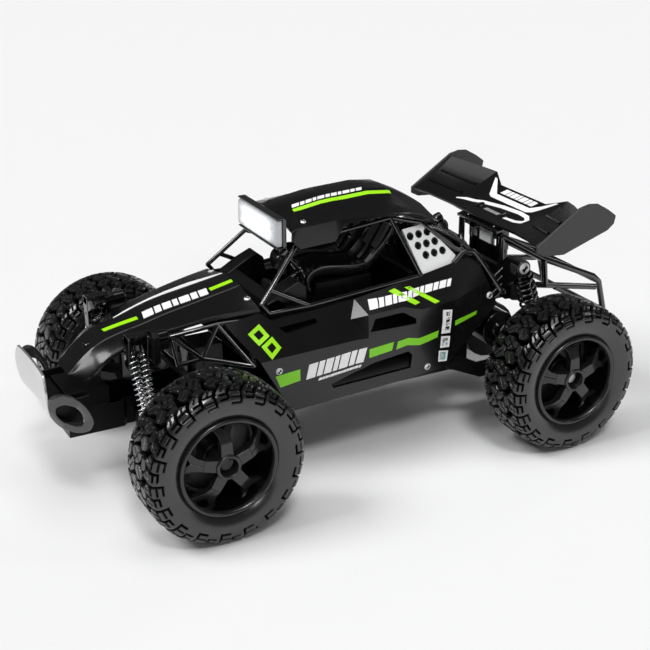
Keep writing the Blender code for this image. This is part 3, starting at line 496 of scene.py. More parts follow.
# Blocks of one pitch: share of the pitch round the tyre, then mm across it from the middle line.
CROWN = [
    [(0.03, -3.6), (0.20, -5.2), (0.36, -3.4), (0.40, -0.8), (0.52, 0.4), (0.44, 3.2), (0.28, 5.0),
     (0.12, 4.4), (0.10, 1.2), (-0.02, -0.6)],
    [(0.56, 0.9), (0.74, 0.2), (0.86, 1.8), (0.98, 3.4), (0.92, 6.6), (0.74, 7.6), (0.62, 5.4), (0.48, 4.4)],
    [(0.48, -1.4), (0.66, -1.0), (0.80, -0.8), (0.90, -3.0), (1.00, -5.0), (0.88, -7.8), (0.66, -7.2),
     (0.60, -4.8), (0.44, -3.8)],
    [(0.16, 6.2), (0.40, 5.9), (0.56, 6.9), (0.52, 9.4), (0.18, 9.6)],
    [(0.14, -6.8), (0.30, -6.3), (0.52, -6.4), (0.50, -9.4), (0.12, -9.6)],
]
CROWN_SIPES = [((0.12, -3.0), (0.38, 3.2)), ((0.40, -0.6), (0.10, 1.6)), ((0.58, 2.8), (0.90, 5.6)),
               ((0.60, -2.6), (0.92, -6.4))]


def tread_depth(turn, s):
    """Depth below the lug tops, at an angle in radians and a signed distance across the tyre."""
    u = (turn / (2 * math.pi) * PITCHES) % 1.0 * PITCH
    across = np.abs(s)

    crown = np.full(u.shape, FAR_OFF)
    sipes = np.full(u.shape, FAR_OFF)
    for shift in (-PITCH, 0.0, PITCH):
        for outline in CROWN:
            corners = [(a * PITCH, b) for a, b in outline]
            crown = np.minimum(crown, polygon_distance(u + shift, s, corners))
        for (a, b), (c, d) in CROWN_SIPES:
            sipes = np.minimum(sipes, line_distance(u + shift, s, (a * PITCH, b), (c * PITCH, d)))
    crown_cut = np.maximum(ramp(crown, 0.0, 0.34) * GROOVE_DEPTH, (1 - ramp(sipes, 0.14, 0.36)) * SIPE_DEPTH)

    # shoulder lugs: long and short ones in turn, leaning as they come over the shoulder
    half = PITCH / 2
    lean = np.maximum(SHOULDER - across, 0.0) ** 1.35 * 0.42
    lug_u = (u + lean + np.where(s > 0, 0.0, half * 0.6)) % PITCH
    near_gap = np.minimum(np.minimum(lug_u, PITCH - lug_u), np.abs(lug_u - half))
    gap_wide = 0.78 - 0.045 * np.clip(across - 10.0, 0, 9)
    gap = 1 - ramp(near_gap, gap_wide - 0.14, gap_wide + 0.16)
    end_at = np.where((lug_u > half - 0.9) & (lug_u < half + 0.9), 16.4, 18.8)
    deep = 2.5 - 1.6 * ramp(across, 12.4, 15.5)
    cut = gap * deep * (1 - ramp(across, end_at - 0.3, end_at + 0.3))
    for start in (half * 0.5, half * 1.5):
        middle_cut = (1 - ramp(np.abs(lug_u - start), 0.12, 0.42)) * NOTCH_DEPTH
        cut = np.maximum(cut, middle_cut * ramp(across, 9.6, 10.0) * (1 - ramp(across, 12.2, 12.6)))
    for start, length, levels in ((0.5, 4.4, (18.3, 15.6, 12.6)), (half + 0.5, 3.4, (16.1, 13.8))):
        for level in levels:
            far = line_distance(lug_u, across, (start, level), (start + length, level))
            cut = np.maximum(cut, (1 - ramp(far, 0.2, 0.5)) * NOTCH_DEPTH)
    inner_edge = 9.1 + 0.7 * np.sin(lug_u / half * 2 * math.pi)
    cut = np.maximum(cut, (1 - ramp(across, inner_edge, inner_edge + 0.4)) * GROOVE_DEPTH)
    cut = np.where(across < inner_edge, np.minimum(crown_cut, cut), cut)
    return np.where(across > TREAD_EDGE, 0.0, cut)


def tyre_rows():
    """Profile across the tyre: signed distance, x, radius, and outward direction."""
    half = np.array(TYRE_HALF)
    arc = np.concatenate([[0], np.cumsum(np.hypot(*np.diff(half, axis=0).T))])
    fine = np.concatenate([np.arange(0, 19.6, 0.38), np.linspace(20.2, arc[-1], 8)])
    x, r = np.interp(fine, arc, half[:, 0]), np.interp(fine, arc, half[:, 1])
    kernel = np.array([1, 2, 1]) / 4
    for _ in range(4):
        x[1:-1] = np.convolve(x, kernel, "valid")
        r[1:-1] = np.convolve(r, kernel, "valid")
    s = np.concatenate([-fine[:0:-1], fine])
    x = np.concatenate([-x[:0:-1], x])
    r = np.concatenate([r[:0:-1], r])
    dx, dr = np.gradient(x), np.gradient(r)
    size = np.hypot(dx, dr)
    return s, x, r, -dr / size, dx / size


def grid_mesh(name, points):
    """A mesh from a closed grid of points: rows round the wheel, columns round the section."""
    m, n = points.shape[:2]
    mesh = bpy.data.meshes.new(name)
    mesh.vertices.add(m * n)
    mesh.vertices.foreach_set("co", (points.reshape(-1) * MM).astype(np.float32))
    i, j = np.meshgrid(np.arange(m), np.arange(n), indexing="ij")
    k, l = (i + 1) % m, (j + 1) % n
    quads = np.stack([i * n + j, i * n + l, k * n + l, k * n + j], -1).reshape(-1, 4)
    mesh.loops.add(quads.size)
    mesh.loops.foreach_set("vertex_index", quads.reshape(-1).astype(np.int32))
    mesh.polygons.add(len(quads))
    mesh.polygons.foreach_set("loop_start", np.arange(0, quads.size, 4, dtype=np.int32))
    mesh.update(calc_edges=True)
    mesh.shade_smooth()
    mesh.set_sharp_from_angle(angle=math.radians(38))
    return mesh


def tyre(label, body, side, centre):
    """A tyre with its tread cut into the surface; the depth is kept for the rubber's painted shade and duller
    finish down in its grooves.
    """
    s, x, r, out_x, out_r = tyre_rows()
    turn = np.arange(TURN_STEPS) * 2 * math.pi / TURN_STEPS
    turns, across = np.meshgrid(turn, s, indexing="ij")
    depth = tread_depth(turns, across)
    xs = x[None, :] - out_x[None, :] * depth
    rs = r[None, :] - out_r[None, :] * depth
    # the hidden inside of the carcass closes the section
    inner_x = np.array([11.6, 12.6, 11.8, 0.0, -11.8, -12.6, -11.6])
    inner_r = np.array([22.85, 26.0, 31.5, 33.6, 31.5, 26.0, 22.85])
    xs = np.concatenate([xs, np.tile(inner_x, (TURN_STEPS, 1))], 1)
    rs = np.concatenate([rs, np.tile(inner_r, (TURN_STEPS, 1))], 1)
    # groove depth for the painted shade down in the grooves; the hidden inside counts as fully shaded
    shade = np.concatenate([np.clip(depth / 0.75, 0, 1), np.ones((TURN_STEPS, len(inner_x)))], 1)
    ang = turn[:, None]
    points = np.stack([side * (TYRE_MIDDLE + xs), centre.y + rs * np.cos(ang), centre.z + rs * np.sin(ang)],
                      -1)
    if side > 0:
        points, shade = points[:, ::-1], shade[:, ::-1]
    mesh = grid_mesh("tread_" + label, points)
    groove = mesh.attributes.new("groove", "FLOAT", "POINT")
    groove.data.foreach_set("value", shade.reshape(-1).astype(np.float32))
    item = placed("tread_" + label, mesh)
    mesh.materials.append(MATS["rubber"])
    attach(item, body)
    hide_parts("tyre_" + label)


# ---------------------------------------------------------------- rims
def sloped_plate(outline, depth_at, thick, place):
    """A flat outline of (along, across) points, bent so that its height follows depth_at(along)."""
    return between(*[[place(a, b, depth_at(a) - sunk) for a, b in outline] for sunk in (0.0, thick)])


def rim(label, body, side, centre):
    """Barrel, rounded lip, and five forked spokes round a hub."""
    def wheel_piece(kind, shapes, mat, **edges):
        piece("%s_%s" % (kind, label), shapes, mat, "rim_black", "rim_" + label, body=body, side=side,
              **edges)

    barrel = [(53.8, 22.7), (53.8, 20.8), (56.0, 19.2), (64.0, 18.2), (71.0, 18.6), (73.6, 19.8),
              (76.6, 20.3), (78.6, 20.7), (78.6, 22.7)]
    wheel_piece("barrel", [turned(barrel, 72, centre)], "gloss", angle=40)
    lip = [(78.4, 20.6), (79.6, 20.9), (80.3, 21.3), (80.5, 21.9), (80.3, 22.6), (79.4, 22.9), (78.4, 22.8)]
    wheel_piece("lip", [turned(lip, 72, centre)], "rim", angle=60)

    spokes = []
    for i in range(5):
        turn = math.radians(93) + 2 * math.pi * i / 5

        def place(a, b, x, turn=turn):
            y = a * math.cos(turn) - b * math.sin(turn)
            z = a * math.sin(turn) + b * math.cos(turn)
            return x, centre.y + y, centre.z + z

        stem = [(4.0, -2.9), (11.6, -2.6), (11.6, 2.6), (4.0, 2.9)]
        spokes.append(sloped_plate(stem, lambda a: RIM_FACE, 4.0, place))
        for tip in (1, -1):
            fork = [(11.6, 0.0), (11.6, 2.6), (14.5, 2.9), (17.6, 4.6), (20.4, 7.4), (20.8, 4.4), (17.0, 0.0)]
            leg = [(a, tip * b) for a, b in fork]
            spokes.append(sloped_plate(leg, lambda a: RIM_FACE - max(0.0, a - 11.6) * 0.5, 3.6, place))
    hub = [(68.0, 6.4), (76.4, 6.0), (78.9, 5.9), (79.5, 5.4), (79.5, 4.5), (79.0, 4.1), (74.5, 4.0),
           (73.0, 0.4), (68.0, 0.4)]
    back = [(60.0, 19.2), (58.0, 19.2), (58.0, 5.6), (68.0, 5.6), (68.0, 7.2), (60.0, 7.2)]
    spokes += [turned(hub, 40, centre), turned(back, 40, centre)]
    wheel_piece("spokes", spokes, "rim", bevel=0.35)


def wheels():
    for end in ("front", "rear"):
        for name, side in SIDES:
            label = "%s_%s" % (end, name)
            body = "wheel_front_" + name if end == "front" else "rear_wheels"
            centre = Vector((0, middle("tyre_" + label).y, AXLE_Z))
            tyre(label, body, side, centre)
            rim(label, body, side, centre)


# ---------------------------------------------------------------- sheets and stickers
def shell(outer, inner):
    """A closed sheet between two grids of points."""
    m, n = len(outer), len(outer[0])
    points = [p for row in outer for p in row] + [p for row in inner for p in row]
    faces = []
    for i in range(m - 1):
        for j in range(n - 1):
            quad = (i * n + j, i * n + j + 1, (i + 1) * n + j + 1, (i + 1) * n + j)
            faces += [quad, tuple(m * n + k for k in reversed(quad))]
    edge = [(0, j) for j in range(n)] + [(i, n - 1) for i in range(1, m)]
    edge += [(m - 1, j) for j in range(n - 2, -1, -1)] + [(i, 0) for i in range(m - 2, 0, -1)]
    for (i, j), (k, l) in zip(edge, edge[1:] + edge[:1]):
        faces.append((i * n + j, k * n + l, m * n + k * n + l, m * n + i * n + j))
    return points, faces


def plate(rows, thickness):
    """A sheet through a grid of points (its outer face), thickened away from its normals."""
    rows = [[Vector(p) for p in row] for row in rows]
    m, n = len(rows), len(rows[0])
    inner = []
    for i in range(m):
        line = []
        for j in range(n):
            along = rows[min(i + 1, m - 1)][j] - rows[max(i - 1, 0)][j]
            across = rows[i][min(j + 1, n - 1)] - rows[i][max(j - 1, 0)]
            line.append(rows[i][j] - across.cross(along).normalized() * thickness)
        inner.append(line)
    return shell(rows, inner)


def surface_of(item):
    """Search tree over an object's final surface, in millimetres."""
    shown = item.evaluated_get(bpy.context.evaluated_depsgraph_get())
    mesh = shown.to_mesh()
    points = [shown.matrix_world @ v.co / MM for v in mesh.vertices]
    tree = BVHTree.FromPolygons(points, [tuple(f.vertices) for f in mesh.polygons])
    shown.to_mesh_clear()
    return tree


# for each view axis: its direction, how (a, b) lies across it, and about how far out the surface is
PLANES = {"x": (Vector((1, 0, 0)), lambda a, b: Vector((0, a, b)), 40),
          "z": (Vector((0, 0, 1)), lambda a, b: Vector((a, b, 0)), 85)}
OUTSIDE = 200                   # a start for rays, beyond every part
FILM_STEP = 1.6                 # longest cell of a film's grid
FILM_ABOVE, FILM_BELOW = 0.16, 0.05


def sticker(name, quads, tree, mat, axis="z", side=1):
    """Thin film laid on a surface: each quad is four (a, b) corners seen along the axis."""
    toward, place, about = PLANES[axis]
    toward = toward * side
    shapes = []
    for quad in quads:
        a, b, c, d = [Vector(p) for p in quad]
        m = max(2, int(max((b - a).length, (c - d).length) / FILM_STEP) + 2)
        n = max(2, int(max((d - a).length, (c - b).length) / FILM_STEP) + 2)
        outer, inner = [], []
        for i in range(m):
            top, low = [], []
            for j in range(n):
                u, v = i / (m - 1), j / (n - 1)
                flat = place(*a.lerp(b, u).lerp(d.lerp(c, u), v))
                hit, normal, _, _ = tree.ray_cast(flat + toward * OUTSIDE, -toward)
                if hit is None:
                    hit, normal, _, _ = tree.find_nearest(flat + toward * about)
                if normal.dot(toward) < 0:
                    normal = -normal
                top.append(hit + normal * FILM_ABOVE)
                low.append(hit - normal * FILM_BELOW)
            outer.append(top)
            inner.append(low)
        shapes.append(shell(outer, inner))
    piece(name, shapes, mat, "white_plastic", angle=60)


def hatching(start, end, up, count, lean=0.3):
    """A row of slanted blocks of changing width: quads from a base line and an up vector."""
    start, end, up = Vector(start), Vector(end), Vector(up)
    widths = [(1.0, 0.62, 0.84, 0.5)[i % 4] for i in range(count)]
    gap = 0.16
    total = sum(widths) + gap * (count - 1)
    step = (end - start) / total
    quads, at = [], 0.0
    for width in widths:
        low = start + step * at
        high = low + up + step * lean
        quads.append([low, low + step * width, high + step * width, high])
        at += width + gap
    return quads


def hollow(quad):
    """A ring of four quads inside the outline of one."""
    share = 0.26    # how wide the ring is, against the outline
    corners = [Vector(p) for p in quad]
    centre = sum(corners, Vector((0, 0))) / 4
    inner = [p.lerp(centre, share * 2) for p in corners]
    return [[corners[i], corners[(i + 1) % 4], inner[(i + 1) % 4], inner[i]] for i in range(4)]


def ribbon(path):
    """Quads along a bent band: each point is (a, b, width)."""
    sides = []
    for i, (a, b, width) in enumerate(path):
        before, after = path[max(i - 1, 0)], path[min(i + 1, len(path) - 1)]
        along = Vector((after[0] - before[0], after[1] - before[1])).normalized()
        out = Vector((-along.y, along.x)) * width / 2
        sides.append((Vector((a, b)) + out, Vector((a, b)) - out))
    return [[p, r, q, o] for (p, o), (r, q) in zip(sides, sides[1:])]


def screw(name, point, normal, radius=1.7, mat="bolt"):
    """A cross-head screw set into a surface."""
    point, normal = Vector(point), Vector(normal).normalized()
    head = [(-0.6, 0.05), (-0.6, radius), (0.25, radius), (0.6, radius * 0.72), (0.7, radius * 0.4),
            (0.7, 0.05)]
    piece(name, [turned(head, 20, point, normal)], mat, "steel", angle=40)
    a_axis, b_axis = square_axes(normal)
    arms = []
    for along, wide in ((a_axis, b_axis), (b_axis, a_axis)):
        along, wide = (along + wide * 0.4).normalized(), (wide - along * 0.4).normalized()
        corners = [point + normal * 0.35 + along * (radius * 0.62 * i) + wide * (radius * 0.17 * j)
                   for i, j in ((-1, -1), (1, -1), (1, 1), (-1, 1))]
        arms.append(between(corners, [p + normal * 0.42 for p in corners]))
    piece(name + "_cross", arms, "gloss", "steel", angle=40)


# ---------------------------------------------------------------- bumper
def star(outline, centre, count):
    """The outline's points seen from the centre at equal angles."""
    corners = [Vector(p) - Vector(centre) for p in outline]
    found = []
    for k in range(count):
        turn = 2 * math.pi * k / count
        ray = Vector((math.cos(turn), math.sin(turn)))
        side_ray = Vector((-ray.y, ray.x))
        for a, b in zip(corners, corners[1:] + corners[:1]):
            low, high = a.dot(side_ray), b.dot(side_ray)
            if (low <= 0) != (high <= 0) and a.lerp(b, low / (low - high)).dot(ray) > 0:
                found.append(Vector(centre) + a.lerp(b, low / (low - high)))
                break
    return found


def rounded(outline):
    """A closed outline with softened corners."""
    steps = 5
    ring = [Vector((a, b, 0)) for a, b in outline]
    path = smooth_path([ring[-1]] + ring + ring[:2], steps)
    return [(p.x, p.y) for p in path[steps:-steps - 1]]


def bumper():
    """A bright skid plate across the front, with a thick open loop flaring back from each of its ends."""
    profile = [(-141.6, 41.6, 15.0), (-146.4, 44.4, 18.0), (-149.8, 48.6, 20.5), (-151.4, 53.4, 22.2),
               (-152.2, 60.0, 22.9), (-152.2, 65.0, 21.6), (-151.8, 69.0, 19.0)]
    rows = [[(half * i / 8, y + 0.8 * (1 - (i / 8) ** 2), z) for i in range(-8, 9)]
            for y, z, half in spread(profile, 4)]
    piece("bumper_skid", [plate(rows, 1.2)], "skid", "black_plastic", "front_bumper", bevel=0.3)

    def flare(y, z):
        """How far out a loop's outer face lies."""
        return 20.7 + 0.8 * (y + 151) + 0.5 * (z - 50)

    outer = [(-151.2, 58.5), (-149.0, 61.6), (-145.0, 62.6), (-141.0, 60.8), (-137.6, 56.6), (-135.2, 51.4),
             (-134.6, 47.2), (-135.9, 43.0), (-140.0, 41.2), (-145.7, 43.6), (-149.6, 48.6), (-151.3, 54.0)]
    hole = [(-148.2, 55.6), (-145.4, 57.6), (-141.8, 56.6), (-139.4, 53.6), (-138.0, 49.8), (-138.2, 46.6),
            (-140.6, 45.2), (-145.0, 47.0), (-147.6, 50.2), (-148.4, 52.8)]
    centre, count, wall = (-143.4, 51.6), 96, 3.4
    big, small = star(rounded(outer), centre, count), star(rounded(hole), centre, count)
    count = min(len(big), len(small))
    points = [(flare(at.x, at.y) - back, at.x, at.y) for p, q in zip(big, small)
              for back, at in ((wall, p), (0.0, p), (0.0, q), (wall, q))]
    faces = [(k * 4 + j, k * 4 + (j + 1) % 4, (k + 1) % count * 4 + (j + 1) % 4, (k + 1) % count * 4 + j)
             for k in range(count) for j in range(4)]
    for name, side in SIDES:
        piece("bumper_loop_" + name, [(points, faces)], "loop", "black_plastic", "front_bumper", side=side,
              bevel=0.45, angle=50)
    bracket = [(-149.6, 50.0), (-146.0, 45.4), (-138.0, 42.4), (-131.0, 42.4), (-131.0, 55.0), (-147.0, 54.0)]
    mount = [box((-12, -146.4, 46.4), (12, -140.3, 53))] + both(prism(bracket, "x", 17.6, 18.8))
    piece("bumper_mount", mount, "black", "black_plastic", "front_bumper", bevel=0.4)


# ---------------------------------------------------------------- body panels
def hood():
    """The long hood: smooth along its length, with crisp creases and a rounded nose flank."""
    # y, crease height, crease x, edge height, edge x, depth of the skirt below the edge
    stations = [(-137.2, 61.6, 7.3, 61.2, 8.0, 0.8), (-135.0, 63.7, 7.6, 61.4, 10.8, 0.9),
                (-132.6, 66.2, 7.7, 61.9, 13.2, 1.2), (-130.0, 68.6, 7.8, 62.8, 15.4, 1.6),
                (-127.0, 71.0, 7.9, 65.2, 16.8, 1.8), (-124.0, 73.0, 8.0, 68.4, 17.3, 2.0),
                (-119.5, 75.2, 8.0, 71.6, 17.6, 2.0), (-114.0, 76.9, 8.2, 74.0, 17.8, 2.0),
                (-109.0, 78.3, 8.7, 76.0, 18.3, 2.0), (-102.0, 80.1, 9.6, 78.6, 19.5, 2.0),
                (-90.0, 83.2, 10.0, 80.7, 22.0, 2.0), (-76.0, 85.7, 9.8, 83.2, 24.2, 2.0),
                (-62.0, 88.1, 9.3, 84.7, 27.4, 2.0), (-53.0, 89.7, 9.0, 85.2, 29.8, 2.0)]
    rows = []
    for y, z_crease, crease, z_edge, edge, skirt in spread(stations, 5):
        flank = min(1.0, max(0.0, (-108.0 - y) / 12.0))
        half = [(crease * 0.5, z_crease + 0.12), (crease, z_crease),
                (crease + 0.5, z_crease - 0.3 - 0.1 * flank)]
        for t in (0.2, 0.4, 0.6, 0.8, 0.93):
            half.append((crease + 0.5 + (edge - crease - 0.5) * t,
                         z_crease - 0.45 + (z_edge - z_crease + 0.45) * t + flank * 2.4 * t * (1 - t)))
        half += [(edge, z_edge - 0.1), (edge + 0.3, z_edge - 0.6), (edge + 0.4, z_edge - skirt)]
        ridge = [(0, y, z_crease + 0.16)]
        rows.append([(-x, y, z) for x, z in half[::-1]] + ridge + [(x, y, z) for x, z in half])
    return piece("hood_panel", [plate(rows, 1.6)], "panel", "gloss_black", "hood", bevel=0.35, angle=16)


def stickers(hood_item):
    """Green and white film on the hood and the flanks, with plain bars and rings, and a white band down the
    far side of the hood that is a painted highlight on its bevel.
    """
    top = surface_of(hood_item)
    sticker("hood_dash_front", [[(-1.6, -117.2), (1.5, -117.0), (4.6, -101.6), (1.4, -101.4)]], top, "green")
    sticker("hood_dash_rear", [[(1.7, -65.4), (4.9, -65.8), (3.6, -49.6), (0.6, -49.2)]], top, "green")
    words = hatching((6.4, -99.6), (7.2, -67.8), (-6.6, 0.0), 7)
    sticker("hood_bars", words, top, "sticker white")
    # painted highlight: a white band down the far side of the hood stands in for light caught by the bevel
    # there
    far_bevel_highlight = [[(-7.4, -109.6), (-6.8, -109.4), (-8.6, -98.2), (-10.6, -97.6)],
            [(-10.6, -97.6), (-8.6, -98.2), (-9.1, -83.0), (-13.6, -81.2)],
            [(-13.6, -81.2), (-9.1, -83.0), (-8.8, -71.2), (-14.4, -69.0)],
            [(-14.4, -69.0), (-8.8, -71.2), (-8.7, -58.0), (-12.2, -57.6)],
            [(-12.2, -57.6), (-8.7, -58.0), (-8.6, -49.4), (-9.6, -49.4)]]
    sticker("hood_painted_highlight", far_bevel_highlight, top, "sticker white")

    for name, side in SIDES:
        flank = surface_of(NODES["side_shell_" + name])

        def lay(label, quads, mat):
            sticker("%s_%s" % (label, name), quads, flank, mat, "x", side)

        lay("side_block", [[(-51.0, 55.6), (-38.7, 56.8), (-38.3, 50.9), (-48.4, 49.4)],
                           [(-3.1, 60.0), (10.1, 61.2), (9.5, 56.7), (-2.7, 55.2)],
                           [(12.3, 60.9), (17.8, 61.7), (17.8, 57.8), (11.8, 56.6)],
                           [(17.8, 61.7), (24.1, 60.2), (25.0, 56.2), (17.8, 57.8)],
                           [(24.1, 60.2), (35.7, 61.5), (35.5, 58.0), (25.0, 56.2)],
                           [(45.8, 64.3), (59.4, 66.3), (59.0, 64.4), (46.0, 61.5)]], "side green")
        lay("side_slash", [[(11.8, 83.4), (15.4, 84.0), (25.3, 77.6), (22.0, 77.3)],
                           [(20.2, 84.0), (22.8, 84.2), (36.0, 76.4), (33.0, 76.0)]], "green")
        lay("side_bars_low", hatching((-35.4, 50.6), (-5.8, 53.8), (0.0, 7.4), 7), "sticker white")
        lay("side_bars_small", hatching((-29.0, 48.7), (-7.0, 51.2), (0.0, 1.2), 14), "sticker white")
        lay("side_bars_high", hatching((-2.0, 78.8), (44.6, 81.2), (0.0, 2.7), 12, lean=0.5), "sticker white")
        marks = hollow([(-60.9, 75.6), (-55.0, 79.3), (-51.4, 74.0), (-57.2, 70.6)])
        marks += hollow([(-56.4, 70.2), (-50.4, 73.6), (-47.2, 68.6), (-52.8, 64.6)])
        lay("shoulder_marks", marks, "green")
        lay("side_panel_label", [[(37.6, 71.9), (43.1, 70.9), (43.3, 58.4), (37.7, 59.2)],
                                 [(37.9, 57.7), (43.6, 56.4), (43.8, 50.4), (38.1, 51.2)],
                                 [(37.5, 49.8), (43.4, 48.4), (43.3, 42.6), (37.9, 43.6)]], "sticker white")
        ink = hatching((42.4, 60.0), (42.2, 70.2), (-2.5, 0.3), 5, lean=0.0)
        ink += [[(39.0, 56.4), (42.6, 55.6), (42.7, 54.2), (39.1, 54.9)],
                [(39.1, 54.9), (40.4, 54.6), (40.5, 51.9), (39.2, 52.2)]]
        lay("side_panel_label_ink", ink, "label ink")
        lay("side_panel_label_tint", [[(38.4, 48.8), (42.6, 47.8), (42.6, 43.6), (38.6, 44.4)],
                                      [(41.2, 53.6), (42.7, 53.2), (42.8, 51.5), (41.3, 51.9)]], "teal")
        core = [(39.6, 47.2), (41.4, 46.8), (41.4, 44.8), (39.7, 45.2)]
        lay("side_panel_label_core", [core], "sticker white")


def roof_stickers():
    top = surface_of(NODES["roof"])
    sticker("roof_stripe", [[(9.6, -25.6), (11.4, -25.6), (11.0, 26.8), (9.4, 26.8)]], top, "green")
    sticker("roof_bars", hatching((8.9, -25.4), (8.5, 12.0), (-2.2, 0.0), 11), top, "sticker white")
    for name, side in (("roof_screw", 1), ("roof_screw_far", -1)):
        screw(name, (side * 19.5, -25.0, 118.9), (side * 0.35, -0.1, 1), 1.3)


def light_bar():
    """Lamp bar: slim housing behind a deep clear cover with ten lamp domes, on two brackets."""
    cover = [(-36.2, 108.8), (-36.2, 121.5), (-38.6, 121.5), (-39.5, 120.8), (-39.7, 115.2), (-39.5, 109.6),
             (-38.6, 108.8)]
    piece("lamp_cover", [prism(cover, "x", -20.3, 20.3)], "lens", "lens", "light_lens", bevel=0.9, segments=4)
    dome = [(-0.6, 0.05), (-0.6, 2.7), (0.05, 2.6), (0.5, 1.9), (0.7, 0.9), (0.75, 0.05)]
    domes = [turned(dome, 22, (-15.6 + 7.8 * i, -39.3, z), (0, -1, 0))
             for i in range(5) for z in (112.2, 118.2)]
    piece("lamp_domes", domes, "lens", "lens", "light_lens", angle=50)
    housing = [(-34.2, 108.4), (-34.2, 121.2), (-35.4, 122.7), (-39.2, 122.7), (-39.2, 121.9), (-36.0, 121.9),
               (-36.0, 108.4)]
    lip = [(-39.3, 107.8), (-39.3, 108.5), (-36.0, 108.5), (-34.4, 108.6), (-34.4, 107.8)]
    bracket = [(-38.0, 108.0), (-34.6, 109.2), (-32.4, 105.6), (-34.4, 103.8), (-36.6, 104.6)]
    shapes = [prism(housing, "x", -20.9, 20.9), prism(lip, "x", -20.6, 20.6)]
    shapes += both(prism(bracket, "x", 17.0, 19.0))
    piece("lamp_housing", shapes, "frame", "gloss_black", "light_bar", bevel=0.3)


def holed_sheet(outline, holes, radius, thickness, origin, across, down):
    """A flat sheet with round holes; outline and holes are given along the across and down axes."""
    work = bmesh.new()
    loops = [outline] + [circle(hole, radius, 24) for hole in holes]
    rings = []
    for loop in loops:
        corners = [work.verts.new((a, b, 0.0)) for a, b in loop]
        for p, q in zip(corners, corners[1:] + corners[:1]):
            work.edges.new((p, q))
        rings.append(len(corners))
    bmesh.ops.triangle_fill(work, edges=work.edges[:], use_beauty=True)
    work.verts.index_update()
    out = across.cross(down).normalized()
    flat = [origin + across * v.co.x + down * v.co.y for v in work.verts]
    n = len(flat)
    points = flat + [p + out * thickness for p in flat]
    faces = [tuple(v.index for v in f.verts) for f in work.faces]
    faces += [tuple(n + k for k in face) for face in faces]
    start = 0
    for size in rings:
        for k in range(size):
            a, b = start + k, start + (k + 1) % size
            faces.append((a, b, n + b, n + a))
        start += size
    work.free()
    return points, faces


def quarter_panels():
    """White corner panels with nine holes, each with a dark ring and a dark disc set behind it as painted
    shade inside the hole.
    """
    origin = Vector((22.4, 26.4, 106.4))
    across = Vector((-0.186, 0.951, 0.247)).normalized()
    down = Vector((0.411, 0.304, -0.860)).normalized()
    outline = [(1.0, -1.2), (13.6, 1.6), (21.8, 22.9), (17.5, 25.6), (-0.4, 23.0)]
    holes = [(3.2 + 4.9 * j + 1.55 * i, 3.6 + 1.15 * j + 5.8 * i) for i in range(3) for j in range(3)]
    outward = -across.cross(down).normalized()
    sheet = holed_sheet(outline, holes, 1.75, 1.1, origin, across, down)
    ring = [(-1.0, 1.0), (-1.0, 1.7), (0.15, 1.95), (0.4, 1.75), (0.2, 1.3), (-0.3, 1.0)]
    # painted shade: a dark disc set behind each hole stands in for the shade inside it
    hole_shade_disc = [(-1.2, 0.05), (-1.2, 1.5), (-0.7, 1.4), (-0.4, 0.7), (-0.1, 0.5), (-0.1, 0.05)]
    spots = [origin + across * a + down * b for a, b in holes]
    rings = [turned(ring, 24, spot, outward) for spot in spots]
    hole_shade_discs = [turned(hole_shade_disc, 18, spot, outward) for spot in spots]
    for name, side in SIDES:
        piece("quarter_sheet_" + name, [sheet], "white", "white_plastic", "quarter_panel_" + name, side=side,
              bevel=0.12, angle=60)
        piece("panel_grommets_" + name, rings, "gloss", "gloss_black", side=side, angle=40)
        piece("panel_hole_shade_" + name, hole_shade_discs, "gloss", "gloss_black", side=side, angle=40)


THIN_BAR, THICK_BAR = 1.1, 1.65


